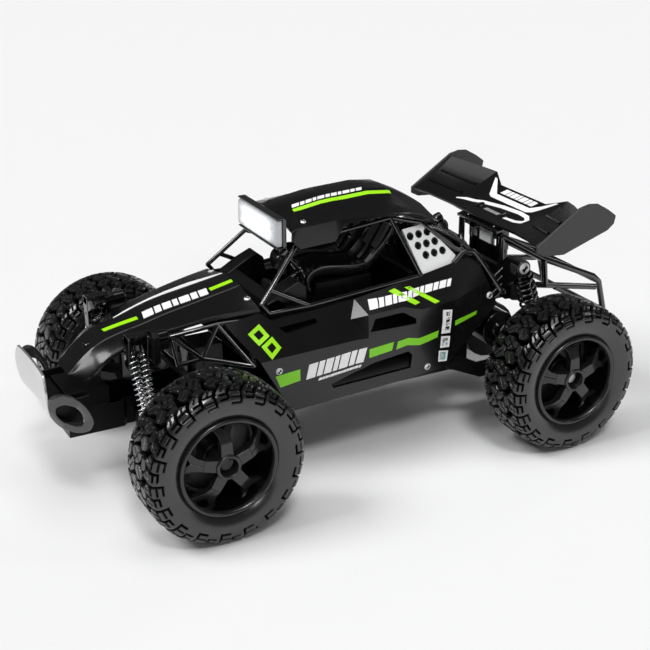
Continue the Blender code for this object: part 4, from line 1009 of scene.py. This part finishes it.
def tubes():
    """Window bars, front truss and tail cage as smooth round bars."""
    a_foot, a_top = (30.2, -52.0, 87.0), (21.0, -28.5, 109.8)
    b_top, b_foot = (21.2, 20.5, 114.4), (32.4, 31.4, 87.2)
    c_top, c_foot = (19.6, 38.0, 109.0), (28.4, 57.4, 92.6)
    quarter_top, quarter_foot = (28.2, -46.6, 92.3), (31.0, -28.0, 82.4)
    sill_front, sill_back = (31.0, -48.5, 82.6), (32.2, 30.0, 87.0)
    hoop = [(30.6, 51.0, 89.4), (29.0, 57.0, 93.0), (29.4, 61.0, 93.4), (31.0, 64.6, 91.2),
            (38.6, 73.8, 74.4), (38.8, 76.0, 73.2)]
    runs = [(a_foot, a_top, b_top), (b_top, b_foot), (b_top, c_top, c_foot), (quarter_top, quarter_foot),
            (a_foot, sill_front, quarter_foot, sill_back)]
    bars = [tube(run, THIN_BAR, 14) for run in runs] + [tube(smooth_path(hoop, 5), 1.25, 14)]
    ball = [(-1.12, 0.02), (-0.8, 0.8), (0, 1.12), (0.8, 0.8), (1.12, 0.02)]
    bars += [turned(ball, 12, p) for p in (a_foot, a_top, b_top, b_foot, c_top, c_foot)]
    for name, side in SIDES:
        piece("cage_bars_" + name, bars, "frame", "gloss_black", "cage_" + name, side=side, angle=50)

    top_front, top_mid, top_back = (21.5, -93.3, 76.4), (25.6, -71.6, 79.6), (28.0, -58.5, 80.0)
    low_front, low_mid, low_back = (22.6, -90.7, 62.0), (27.0, -80.5, 65.2), (38.4, -60.0, 61.6)
    runs = [(top_front, top_mid, top_back), (low_front, low_mid, low_back), (top_front, low_front),
            (top_front, low_mid), (top_mid, low_mid), (top_mid, low_back), (top_back, low_back)]
    truss = both(*[tube(run, THIN_BAR, 14) for run in runs])
    truss += [rod((-x, y, z), (x, y, z), THIN_BAR) for x, y, z in (low_front, low_mid, (38.0, -60.0, 61.6))]
    truss.append(box((-16, -62.0, 62.4), (16, -58.0, 66.0)))
    piece("front_truss", truss, "frame", "gloss_black", "front_frame", angle=50)

    runs = [[(18.0, 88.4, 93.0), (22.0, 112.0, 78.6), (26.0, 142.5, 65.0), (26.0, 146.6, 61.4),
             (26.0, 151.3, 44.0)],
            [(23.0, 112.0, 78.0), (24.0, 112.8, 64.6)],
            [(24.0, 112.8, 64.6), (26.0, 144.5, 58.6)],
            [(24.5, 119.0, 62.8), (26.0, 151.3, 44.0)],
            [(18.0, 88.4, 93.0), (18.0, 88.8, 67.6)],
            [(18.0, 88.8, 67.6), (24.0, 112.8, 64.6)]]
    tail = both(*[tube(run, THICK_BAR, 14) for run in runs])
    tail += [rod((-x, y, z), (x, y, z), THICK_BAR)
             for x, y, z in ((26.0, 144.3, 62.8), (26.0, 151.3, 44.0), (22.0, 112.4, 78.2))]
    piece("tail_cage", tail, "frame", "gloss_black", "rear_cage", angle=50)


# ---------------------------------------------------------------- cabin
def seat(x_middle):
    """A bucket seat: a channelled sheet swept up from the front lip to the headrest."""
    spine = smooth_path([(0, -22.5, 84.5), (0, -19.8, 89.6), (0, -14.0, 91.4), (0, -5.0, 90.2),
                         (0, 4.0, 89.2), (0, 10.5, 90.2), (0, 15.0, 93.8), (0, 18.8, 99.0), (0, 22.4, 104.6),
                         (0, 24.6, 108.4)])
    last = len(spine) - 1
    outer, inner = [], []
    for i, point in enumerate(spine):
        after = spine[min(i + 1, last)] - spine[max(i - 1, 0)]
        up = Vector((0, -after.z, after.y)).normalized()
        t = i / last
        wide = 8.9 - 1.7 * max(0.0, t - 0.78) / 0.22
        rib = 0.95 * (0.5 + 0.5 * math.cos(i * 2 * math.pi / 3.0)) if 4 < i < last - 7 else 0.3
        rise = 4.0 * math.sin(min(1.0, t / 0.15) * math.pi / 2)
        if t >= 0.7:
            rise *= max(0.25, 1 - (t - 0.7) / 0.3)
        row = []
        for k in range(-8, 9):
            u = k / 8
            lift = rise * max(0.0, (abs(u) - 0.52) / 0.48) ** 1.6
            pad = rib * max(0.0, 1 - (abs(u) / 0.62) ** 4)
            row.append(point + Vector((x_middle + wide * u, 0, 0)) + up * (lift + pad))
        outer.append(row)
        inner.append([p - up * (1.6 + 1.6 * (1 - abs(k - 8) / 8)) for k, p in enumerate(row)])
    return shell(outer, inner)


def cabin():
    """Tub, dashboard, two belted seats, steering wheel and gear lever."""
    bottom = prism([(-29, 56), (29, 56), (29, 58), (-29, 58)], "y", -48, 30)
    walls = both(box((27, -48, 56), (29, 30, 80)))
    walls += [box((-29, -48, 56), (29, -46, 80)), box((-29, 27, 56.5), (29, 30, 88)), bottom]
    tunnel = prism([(-2.6, 57), (2.6, 57), (2.0, 76), (-2.0, 76)], "y", -30, 22)
    plinths = both(prism([(-20, 57), (14, 57), (12, 87), (-18, 87)], "x", 4.0, 18.6))
    piece("cabin_tub", walls + plinths + [tunnel], "black", "black_plastic", "interior_tub", bevel=0.4)

    dash = [(-47.5, 60), (-34, 60), (-36, 78), (-38.2, 83.6), (-42, 87.0), (-47.5, 85.0)]
    pod = [(-47.5, 60), (-28, 60), (-26.4, 80), (-27.4, 90.4), (-31, 93.4), (-38, 90.4), (-47.5, 85.0)]
    pods = both(prism(pod, "x", 17.8, 27))
    vents = [box((x - 3.2, -27.0, 82.2), (x + 3.2, -26.0, 85.0)) for x in (-22.4, 22.4)]
    vents += [box((x - 3.2, -36.6, 76.2), (x + 3.2, -35.2, 78.6)) for x in (-7, 7)]
    binnacle = [prism([(-42, 85.0), (-38.4, 83.0), (-36.0, 88.6), (-40.5, 90.4)], "x", 7.0, 16.0)]
    board = [prism(dash, "x", -27, 27)] + pods + binnacle
    piece("dashboard", board, "black", "black_plastic", "interior_tub", bevel=0.6)
    piece("dash_vents", vents, "gloss", "gloss_black", "interior_tub", bevel=0.3)

    piece("seats", [seat(10.8), seat(-10.8)], "seat", "gloss_black", "interior_tub", angle=60)
    belts = []
    for x in (7.0, 14.6, -7.0, -14.6):
        path = [(x, 23.6, 108.0), (x, 21.4, 104.8), (x, 18.0, 99.6), (x, 14.6, 95.0), (x + 0.6, 10.6, 91.8)]
        belts += [rod(start, end, 1.15, 4) for start, end in zip(path, path[1:])]
        pad = [(23.4, 109.0), (16.2, 98.0), (15.0, 98.9), (22.2, 109.9)]
        belts.append(prism(pad, "x", x - 2.2, x + 2.2))
    piece("harness", belts, "grey", "grey_plastic", "interior_tub", bevel=0.1)

    tilt = Vector((0, 1, 0.36)).normalized()
    hub = Vector((10.8, -23.4, 91.0))
    rim_section = [(b, 6.6 + a) for a, b in circle((0, 0), 0.85, 10)]
    boss = [(-0.9, 0.05), (-0.9, 2.0), (0.6, 2.0), (1.0, 1.4), (1.0, 0.05)]
    shapes = [turned(rim_section, 36, hub, tilt), turned(boss, 20, hub, tilt)]
    side_axis = Vector((1, 0, 0))
    up_axis = tilt.cross(side_axis)
    for turn in (90, 210, 330):
        away = side_axis * math.cos(math.radians(turn)) + up_axis * math.sin(math.radians(turn))
        shapes.append(rod(hub + away * 1.4, hub + away * 6.4, 0.6, 10))
    shapes.append(rod(Vector((11.0, -38.0, 84.0)), hub, 1.2, 14))
    piece("steering_wheel", shapes, "frame", "gloss_black", "interior_tub", angle=50)
    knob = [(-1.2, 0.05), (-0.8, 1.1), (0.2, 1.5), (1.2, 0.9), (1.5, 0.05)]
    lever = [rod((0, -14, 76), (0, -16.5, 82), 0.7, 10), turned(knob, 16, (0, -16.8, 82.8), (0, -0.4, 1))]
    piece("lever", lever, "gloss", "gloss_black", "interior_tub", angle=50)


# ---------------------------------------------------------------- engine bay and wing
def ribbed(path, radius):
    """A corrugated hose along a path."""
    pitch, depth = 1.3, 0.35
    path = smooth_path(path, 14)
    dense, radii, run = [], [], 0.0
    for a, b in zip(path, path[1:]):
        length = (b - a).length
        count = max(1, int(length / (pitch / 4)))
        for k in range(count):
            t = k / count
            dense.append(a.lerp(b, t))
            radii.append(radius - depth * (0.5 - 0.5 * math.cos(2 * math.pi * (run + length * t) / pitch)))
        run += length
    dense.append(path[-1])
    radii.append(radius)
    return tube(dense, radius, 14, radii)


def engine():
    """Two banks of three finned cylinders with leads and hoses, round a central intake."""
    block = prism([(31.0, 66), (31.0, 82), (40, 86), (66, 85), (78, 79), (81, 66)], "x", -18, 18)
    fin = [(-0.3, 0.05), (-0.3, 4.1), (0.3, 4.1), (0.3, 0.05)]
    cap = [(-0.8, 0.05), (-0.8, 3.0), (0.7, 2.6), (1.2, 0.05)]
    bank, fins, caps, leads = [], [], [], []
    for i in range(3):
        y = 46 + 10 * i
        low, high = Vector((7, y, 84 - i)), Vector((11, y, 96 - i))
        bank.append(rod(low, high, 3.0, 20))
        fins += [turned(fin, 22, low.lerp(high, 0.2 + 0.13 * k), high - low) for k in range(6)]
        caps.append(turned(cap, 20, high, high - low))
        lead = [high, high + Vector((2.5, 0.5, 2.0)), (17.5, y - 2, 92 - i), (19.0, y - 6, 84)]
        leads.append(tube(smooth_path(lead), 0.75, 8))
    outer_hose = [(15, 42, 85), (18.5, 47, 90.5), (19.0, 58, 91.0), (18.0, 69, 86), (14, 76, 78)]
    inner_hose = [(4.0, 44, 97), (9.5, 50, 101.0), (14.0, 58, 98.0), (15.5, 67, 91), (13.0, 74, 82)]
    horn = tube(smooth_path([(0, 56, 90), (0, 57, 97), (0, 59.5, 101), (0, 63.0, 102.5)]), 2.6, 20)
    cup = [(-2.0, 4.4), (-2.0, 5.4), (1.8, 6.4), (2.4, 6.0), (2.2, 5.4), (-0.4, 4.4)]
    filler = [(-8, 0.05), (-8, 4.0), (-1.5, 4.6), (-1.5, 0.05)]
    mouth, lean = (0, 41.5, 97.5), (0, -0.25, 1)
    intake = [horn, turned(cup, 32, mouth, lean), turned(filler, 28, mouth, lean)]
    for name, shapes, mat, edges in (
            ("block", [block, box((-5.5, 48, 84), (5.5, 70, 92))], "black", {"bevel": 0.6}),
            ("cylinders", both(*bank) + both(*caps), "gloss", {"bevel": 0.2}),
            ("fins", both(*fins), "frame", {"angle": 40}),
            ("leads", both(*leads), "frame", {"angle": 60}),
            ("hoses", both(ribbed(outer_hose, 2.5), ribbed(inner_hose, 2.0)), "frame", {"angle": 60}),
            ("intake", intake, "gloss", {"bevel": 0.15})):
        piece("engine_" + name, shapes, mat, "gloss_black", "engine_cover", **edges)


def wing():
    """A dished blade with raised ribs, white bands and bars, and an end plate on each tip."""
    sag = 1.4
    # x, then y and z of the front edge, y and z of the back edge
    stations = [(-54.8, 81.2, 100.6, 105.0, 115.4), (-44, 84.0, 100.2, 111.5, 113.4),
                (-30.3, 87.0, 99.0, 118.6, 110.7), (-25, 87.2, 98.9, 116.2, 108.8),
                (-19.3, 87.2, 98.6, 113.6, 106.9)]
    stations += [(0, 87.0, 98.5, 113.6, 106.9)] + [(-x, a, b, c, d) for x, a, b, c, d in reversed(stations)]
    rows = []
    for x, y0, z0, y1, z1 in stations:
        rows.append([(x, y0 + (y1 - y0) * t, z0 + (z1 - z0) * t - sag * 4 * t * (1 - t))
                     for t in (k / 12 for k in range(12, -1, -1))])
    blade = piece("wing_blade", [plate(rows, 1.5)], "panel", "gloss_black", "wing", bevel=0.35, angle=12)
    tree = surface_of(blade)

    def top_at(x, y):
        return tree.ray_cast(Vector((x, y, OUTSIDE)), Vector((0, 0, -1)))[0]

    ribs = []
    for _, side in SIDES:
        for t in (0.34, 0.62):
            path = []
            for k in range(9):
                x = 31.5 + 21.0 * k / 8
                y0, y1 = 86.6 - (x - 30.3) * 0.22, 118.0 - (x - 30.3) * 0.5
                hit = top_at(side * x, y0 + (y1 - y0) * t)
                if hit is not None:
                    path.append(hit + Vector((0, 0, 0.35)))
            if len(path) > 2:
                ribs.append(tube(path, 0.85, 8))
    piece("wing_ribs", ribs, "panel", "gloss_black", "wing", angle=40)

    edge = [[(-15.4, 104.2), (15.4, 104.2), (14.2, 107.4), (-14.2, 107.4)]]
    for _, side in SIDES:
        edge += [[(side * 18.4, 105.6), (side * 14.2, 107.4), (side * 25.0, 115.2), (side * 27.2, 115.4)],
                 [(side * 15.4, 104.2), (side * 18.4, 105.6), (side * 14.2, 107.4), (side * 14.1, 107.4)]]
    sticker("wing_band", edge, tree, "sticker white")
    front = ribbon([(-29.6, 92.2, 0.8), (-25.0, 94.9, 2.0), (-15.0, 98.6, 2.5), (0.0, 101.2, 2.5),
                    (14.0, 102.2, 2.4), (20.0, 101.6, 2.5), (23.6, 99.2, 2.6), (22.8, 96.4, 2.4),
                    (18.0, 95.2, 2.0), (10.0, 94.6, 1.5)])
    sticker("wing_front_band", front, tree, "sticker white")
    sticker("wing_bars", hatching((-13.2, 108.8), (13.8, 108.8), (0.0, 3.4), 7), tree, "sticker white")
    boss = [(-0.4, 0.05), (-0.4, 2.4), (0.3, 2.4), (0.5, 2.0), (0.1, 1.5), (0.1, 0.05)]
    rings = [turned(boss, 24, top_at(x, 96.2), (0, -0.3, 1)) for x in (-13.0, 8.6)]
    piece("wing_bosses", rings, "gloss", "gloss_black", angle=40)
    sticker("wing_small_bars", hatching((-7.4, 94.2), (4.6, 94.2), (0.0, 2.0), 5), tree, "light grey")

    outline = [(80.7, 100.6), (105.1, 116.3), (110.5, 117.4), (115.7, 116.9), (122.5, 113.0), (127.5, 109.3),
               (126.6, 105.2), (123.0, 102.4), (96.9, 94.0), (85.0, 95.0), (80.7, 97.2)]
    for name, side in SIDES:
        piece("wing_end_" + name, [prism(outline, "x", 55.7, 57.2)], "end plate", "grey_plastic",
              "end_plate_" + name, side=side, bevel=0.45)


def wing_stand():
    """Two framed posts under the wing, with a dark sheet between them and a white block."""
    top = prism([(85.0, 94.6), (85.0, 96.1), (100.0, 99.1), (100.0, 97.6)], "x", -18, 18)
    post = [box((10.2, 90.4, 66.0), (13.6, 92.2, 97.0)), box((10.2, 94.0, 66.0), (13.6, 95.8, 97.0)),
            box((11.0, 91.0, 66.0), (12.8, 95.2, 97.0)), box((10.2, 90.4, 66.0), (13.6, 95.8, 73.0)),
            box((10.2, 90.4, 89.0), (13.6, 95.8, 96.0)), box((8.0, 88.2, 65.9), (15.8, 97.6, 67.5))]
    posts = [top] + both(*post) + [box((-12, 92.4, 66.0), (12, 93.6, 84.0))]
    piece("stand_posts", posts, "frame", "black_plastic", "wing_stand", bevel=0.4)
    tabs = both(box((13.7, 91.0, 84.0), (14.9, 95.2, 95.4)))
    piece("stand_tabs", tabs, "light grey", "grey_plastic", "wing_stand", bevel=0.3)
    ring = [(-0.3, 1.1), (-0.3, 2.2), (0.4, 2.2), (0.7, 1.8), (0.4, 1.1)]
    rings = both(turned(ring, 24, (11.5, 88.6, 96.9), (0, -0.2, 1)))
    piece("stand_rings", rings, "gloss", "gloss_black", "wing_stand", angle=40)
    block = box((-4.5, 90.4, 85.0), (5.5, 91.6, 93.0))
    piece("stand_block", [block], "white", "white_plastic", "wing_stand", bevel=0.3)


# ---------------------------------------------------------------- dampers
def fixed_half(kind, label, side, shapes, mat, bevel):
    """A part of a damper that stays on the chassis."""
    piece("damper_%s_%s" % (kind, label), shapes, mat, "shock_grey", "shock_body_" + label, side=side,
          bevel=bevel)


def sprung_half(label, side, rods, coils, mat, start, end):
    """A damper's sliding rod, and its coils, which lie between the chassis and the rod on no body."""
    node = "shock_rod_" + label
    piece("damper_rod_" + label, rods, "chrome", "steel", node, body=node, side=side, bevel=0.2)
    coil = piece("coil_" + label, coils, mat, "steel", "spring_" + label, body=None, side=side, angle=60)
    start, end = [Vector((side * p.x, p.y, p.z)) * MM for p in (start, end)]
    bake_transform(coil)
    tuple(start)
    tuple(end)


def front_dampers():
    """Each front corner has two slim coil-overs side by side under one bracket."""
    tops = [Vector((26.3, y, 75.4)) for y in (-113.6, -108.4)]
    feet = [Vector((37.8, y, 46.4)) for y in (-112.6, -109.2)]
    body, rods, coils, caps, spans = [], [], [], [], []
    for top, foot in zip(tops, feet):
        down = (foot - top).normalized()
        spans.append((top + down * 2.4, foot - down * 4.6))
        body.append(rod(top - down * 2, top + down * 13.0, 1.35, 16))
        caps.append(rod(top + down * 0.4, top + down * 2.0, 2.7, 20))
        rods.append(rod(top + down * 9.0, foot, 0.75, 12))
        rods.append(rod(foot - down * 4.2, foot - down * 2.8, 2.7, 20))
        coils.append(helix(*spans[-1], 2.25, 0.3, 10.5))
    rods.append(rod((37.9, -114.0, 45.0), (37.9, -107.8, 45.0), 2.7, 24))
    cheek_top = [(30.6, 82.4), (28.4, 83.6), (25.4, 83.6), (23.8, 82.0)]
    bracket = [
        prism([(23.6, 68.2), (28.8, 66.8)] + cheek_top, "y", -116.0, -114.6),
        prism([(23.6, 70.2), (28.8, 69.8)] + cheek_top, "y", -107.2, -105.9),
        box((24.4, -116.0, 79.0), (30.0, -106.0, 83.4)),
        rod((27.2, -106.4, 79.6), (27.2, -97.0, 80.0), 3.0, 24),
        prism([(24.2, 76.0), (19.6, 79.0), (24.2, 82.0)], "y", -115.8, -112.6),
    ]
    for name, side in SIDES:
        label = "front_" + name
        fixed_half("body", label, side, body + caps, "frame", 0.2)
        fixed_half("bracket", label, side, bracket, "gloss", 0.45)
        sprung_half(label, side, rods, coils, "chrome", *spans[0])


def rear_dampers():
    """Each rear corner has one large coil-over, bolted through its head."""
    top, foot = Vector((37.0, 86.6, 83.4)), Vector((37.0, 98.0, 50.0))
    down = (foot - top).normalized()
    body = [rod(top + down * 2, top + down * 21.0, 2.9, 24),
            rod(top + down * 5.7, top + down * 7.1, 5.5, 28),
            rod(top + down * 3.6, top + down * 5.7, 4.6, 28)]
    head = [rod(top - Vector((3.6, 0, 0)), top + Vector((3.2, 0, 0)), 4.0, 28),
            prism([(83.0, 79.4), (90.2, 79.4), (90.8, 83.4), (89.0, 87.0), (84.4, 87.0), (82.6, 83.4)], "x",
                  33.6, 38.4)]
    rods = [rod(top + down * 15.2, foot - down * 1.4, 1.3, 16),
            rod(top + down * 29.4, top + down * 30.8, 5.5, 28),
            rod(foot - Vector((2.2, 0, 0)), foot + Vector((2.0, 0, 0)), 2.7, 24)]
    start, end = top + down * 7.9, top + down * 28.6
    coil = helix(start, end, 4.6, 0.75, 6.5)
    for name, side in SIDES:
        label = "rear_" + name
        fixed_half("body", label, side, body, "gloss", 0.3)
        fixed_half("head", label, side, head, "loop", 0.5)
        screw("damper_bolt_" + label, (side * 40.3, 86.6, 83.4), (side, 0, 0), 2.9)
        sprung_half(label, side, rods, [coil], "dark steel", start, end)


def rear_cheeks():
    """Dark fill plates beside the rear tower."""
    cheek = prism([(92.4, 60), (104, 57.6), (101, 66), (94, 73), (84, 76), (84, 66)], "x", 23.2, 24.4)
    piece("rear_cheeks", both(cheek), "black", "black_plastic", bevel=0.3)


def rear_grille():
    """Slanted slats beside the rear tower."""
    slats = [tube([(27.0, 78.0, 63.5 + 4.2 * k), (27.0, 87.0, 70.0 + 4.2 * k)], 0.8, 10) for k in range(4)]
    for name, side in SIDES:
        piece("rear_grille_" + name, slats, "frame", "gloss_black", side=side, angle=50)


def flank_screws():
    """Screws of the side shells, the hood and the nose."""
    spots = [(41.8, -49.3, 58.0, -0.1), (40.3, 31.6, 42.4, -0.1), (39.0, 67.3, 72.5, 0.2)]
    for name, side in SIDES:
        for i, (x, y, z, tilt) in enumerate(spots):
            screw("flank_screw_%d_%s" % (i, name), (side * x, y, z), (side, 0, tilt))
        screw("hood_screw_" + name, (side * 20.4, -54.5, 87.0), (side * 0.2, -0.1, 1), 1.5)
    screw("nose_screw", (1.5, -125.4, 72.2), (0, -0.35, 1), 1.9, mat="gloss")


# ---------------------------------------------------------------- CAD nodes that stay in sight
FINISHES = {
    "black": ["chassis_tub", "front_arm_left", "front_arm_right", "gearbox_left", "gearbox_right",
              "rear_tower", "front_tower"],
    "panel": ["side_shell_left", "side_shell_right", "roof"],
    "frame": ["drive_motor"],
    "grey": ["battery_cover", "steering_servo", "tie_rod", "knuckle_left", "knuckle_right"],
    "white": ["servo_horn", "spur_gear"],
    "steel": ["rear_axle_shaft"],
    "red": ["power_switch"],
    "brass": ["motor_pinion"],
    "board": ["circuit_board"],
    "wrap": ["battery_pack"],
}


def carried_over():
    for mat, nodes in FINISHES.items():
        for node in nodes:
            dress(node, mat)


camera()
studio()
carried_over()
wheels()
bumper()
stickers(hood())
roof_stickers()
light_bar()
quarter_panels()
tubes()
cabin()
engine()
wing()
wing_stand()
front_dampers()
rear_dampers()
rear_grille()
rear_cheeks()
flank_screws()
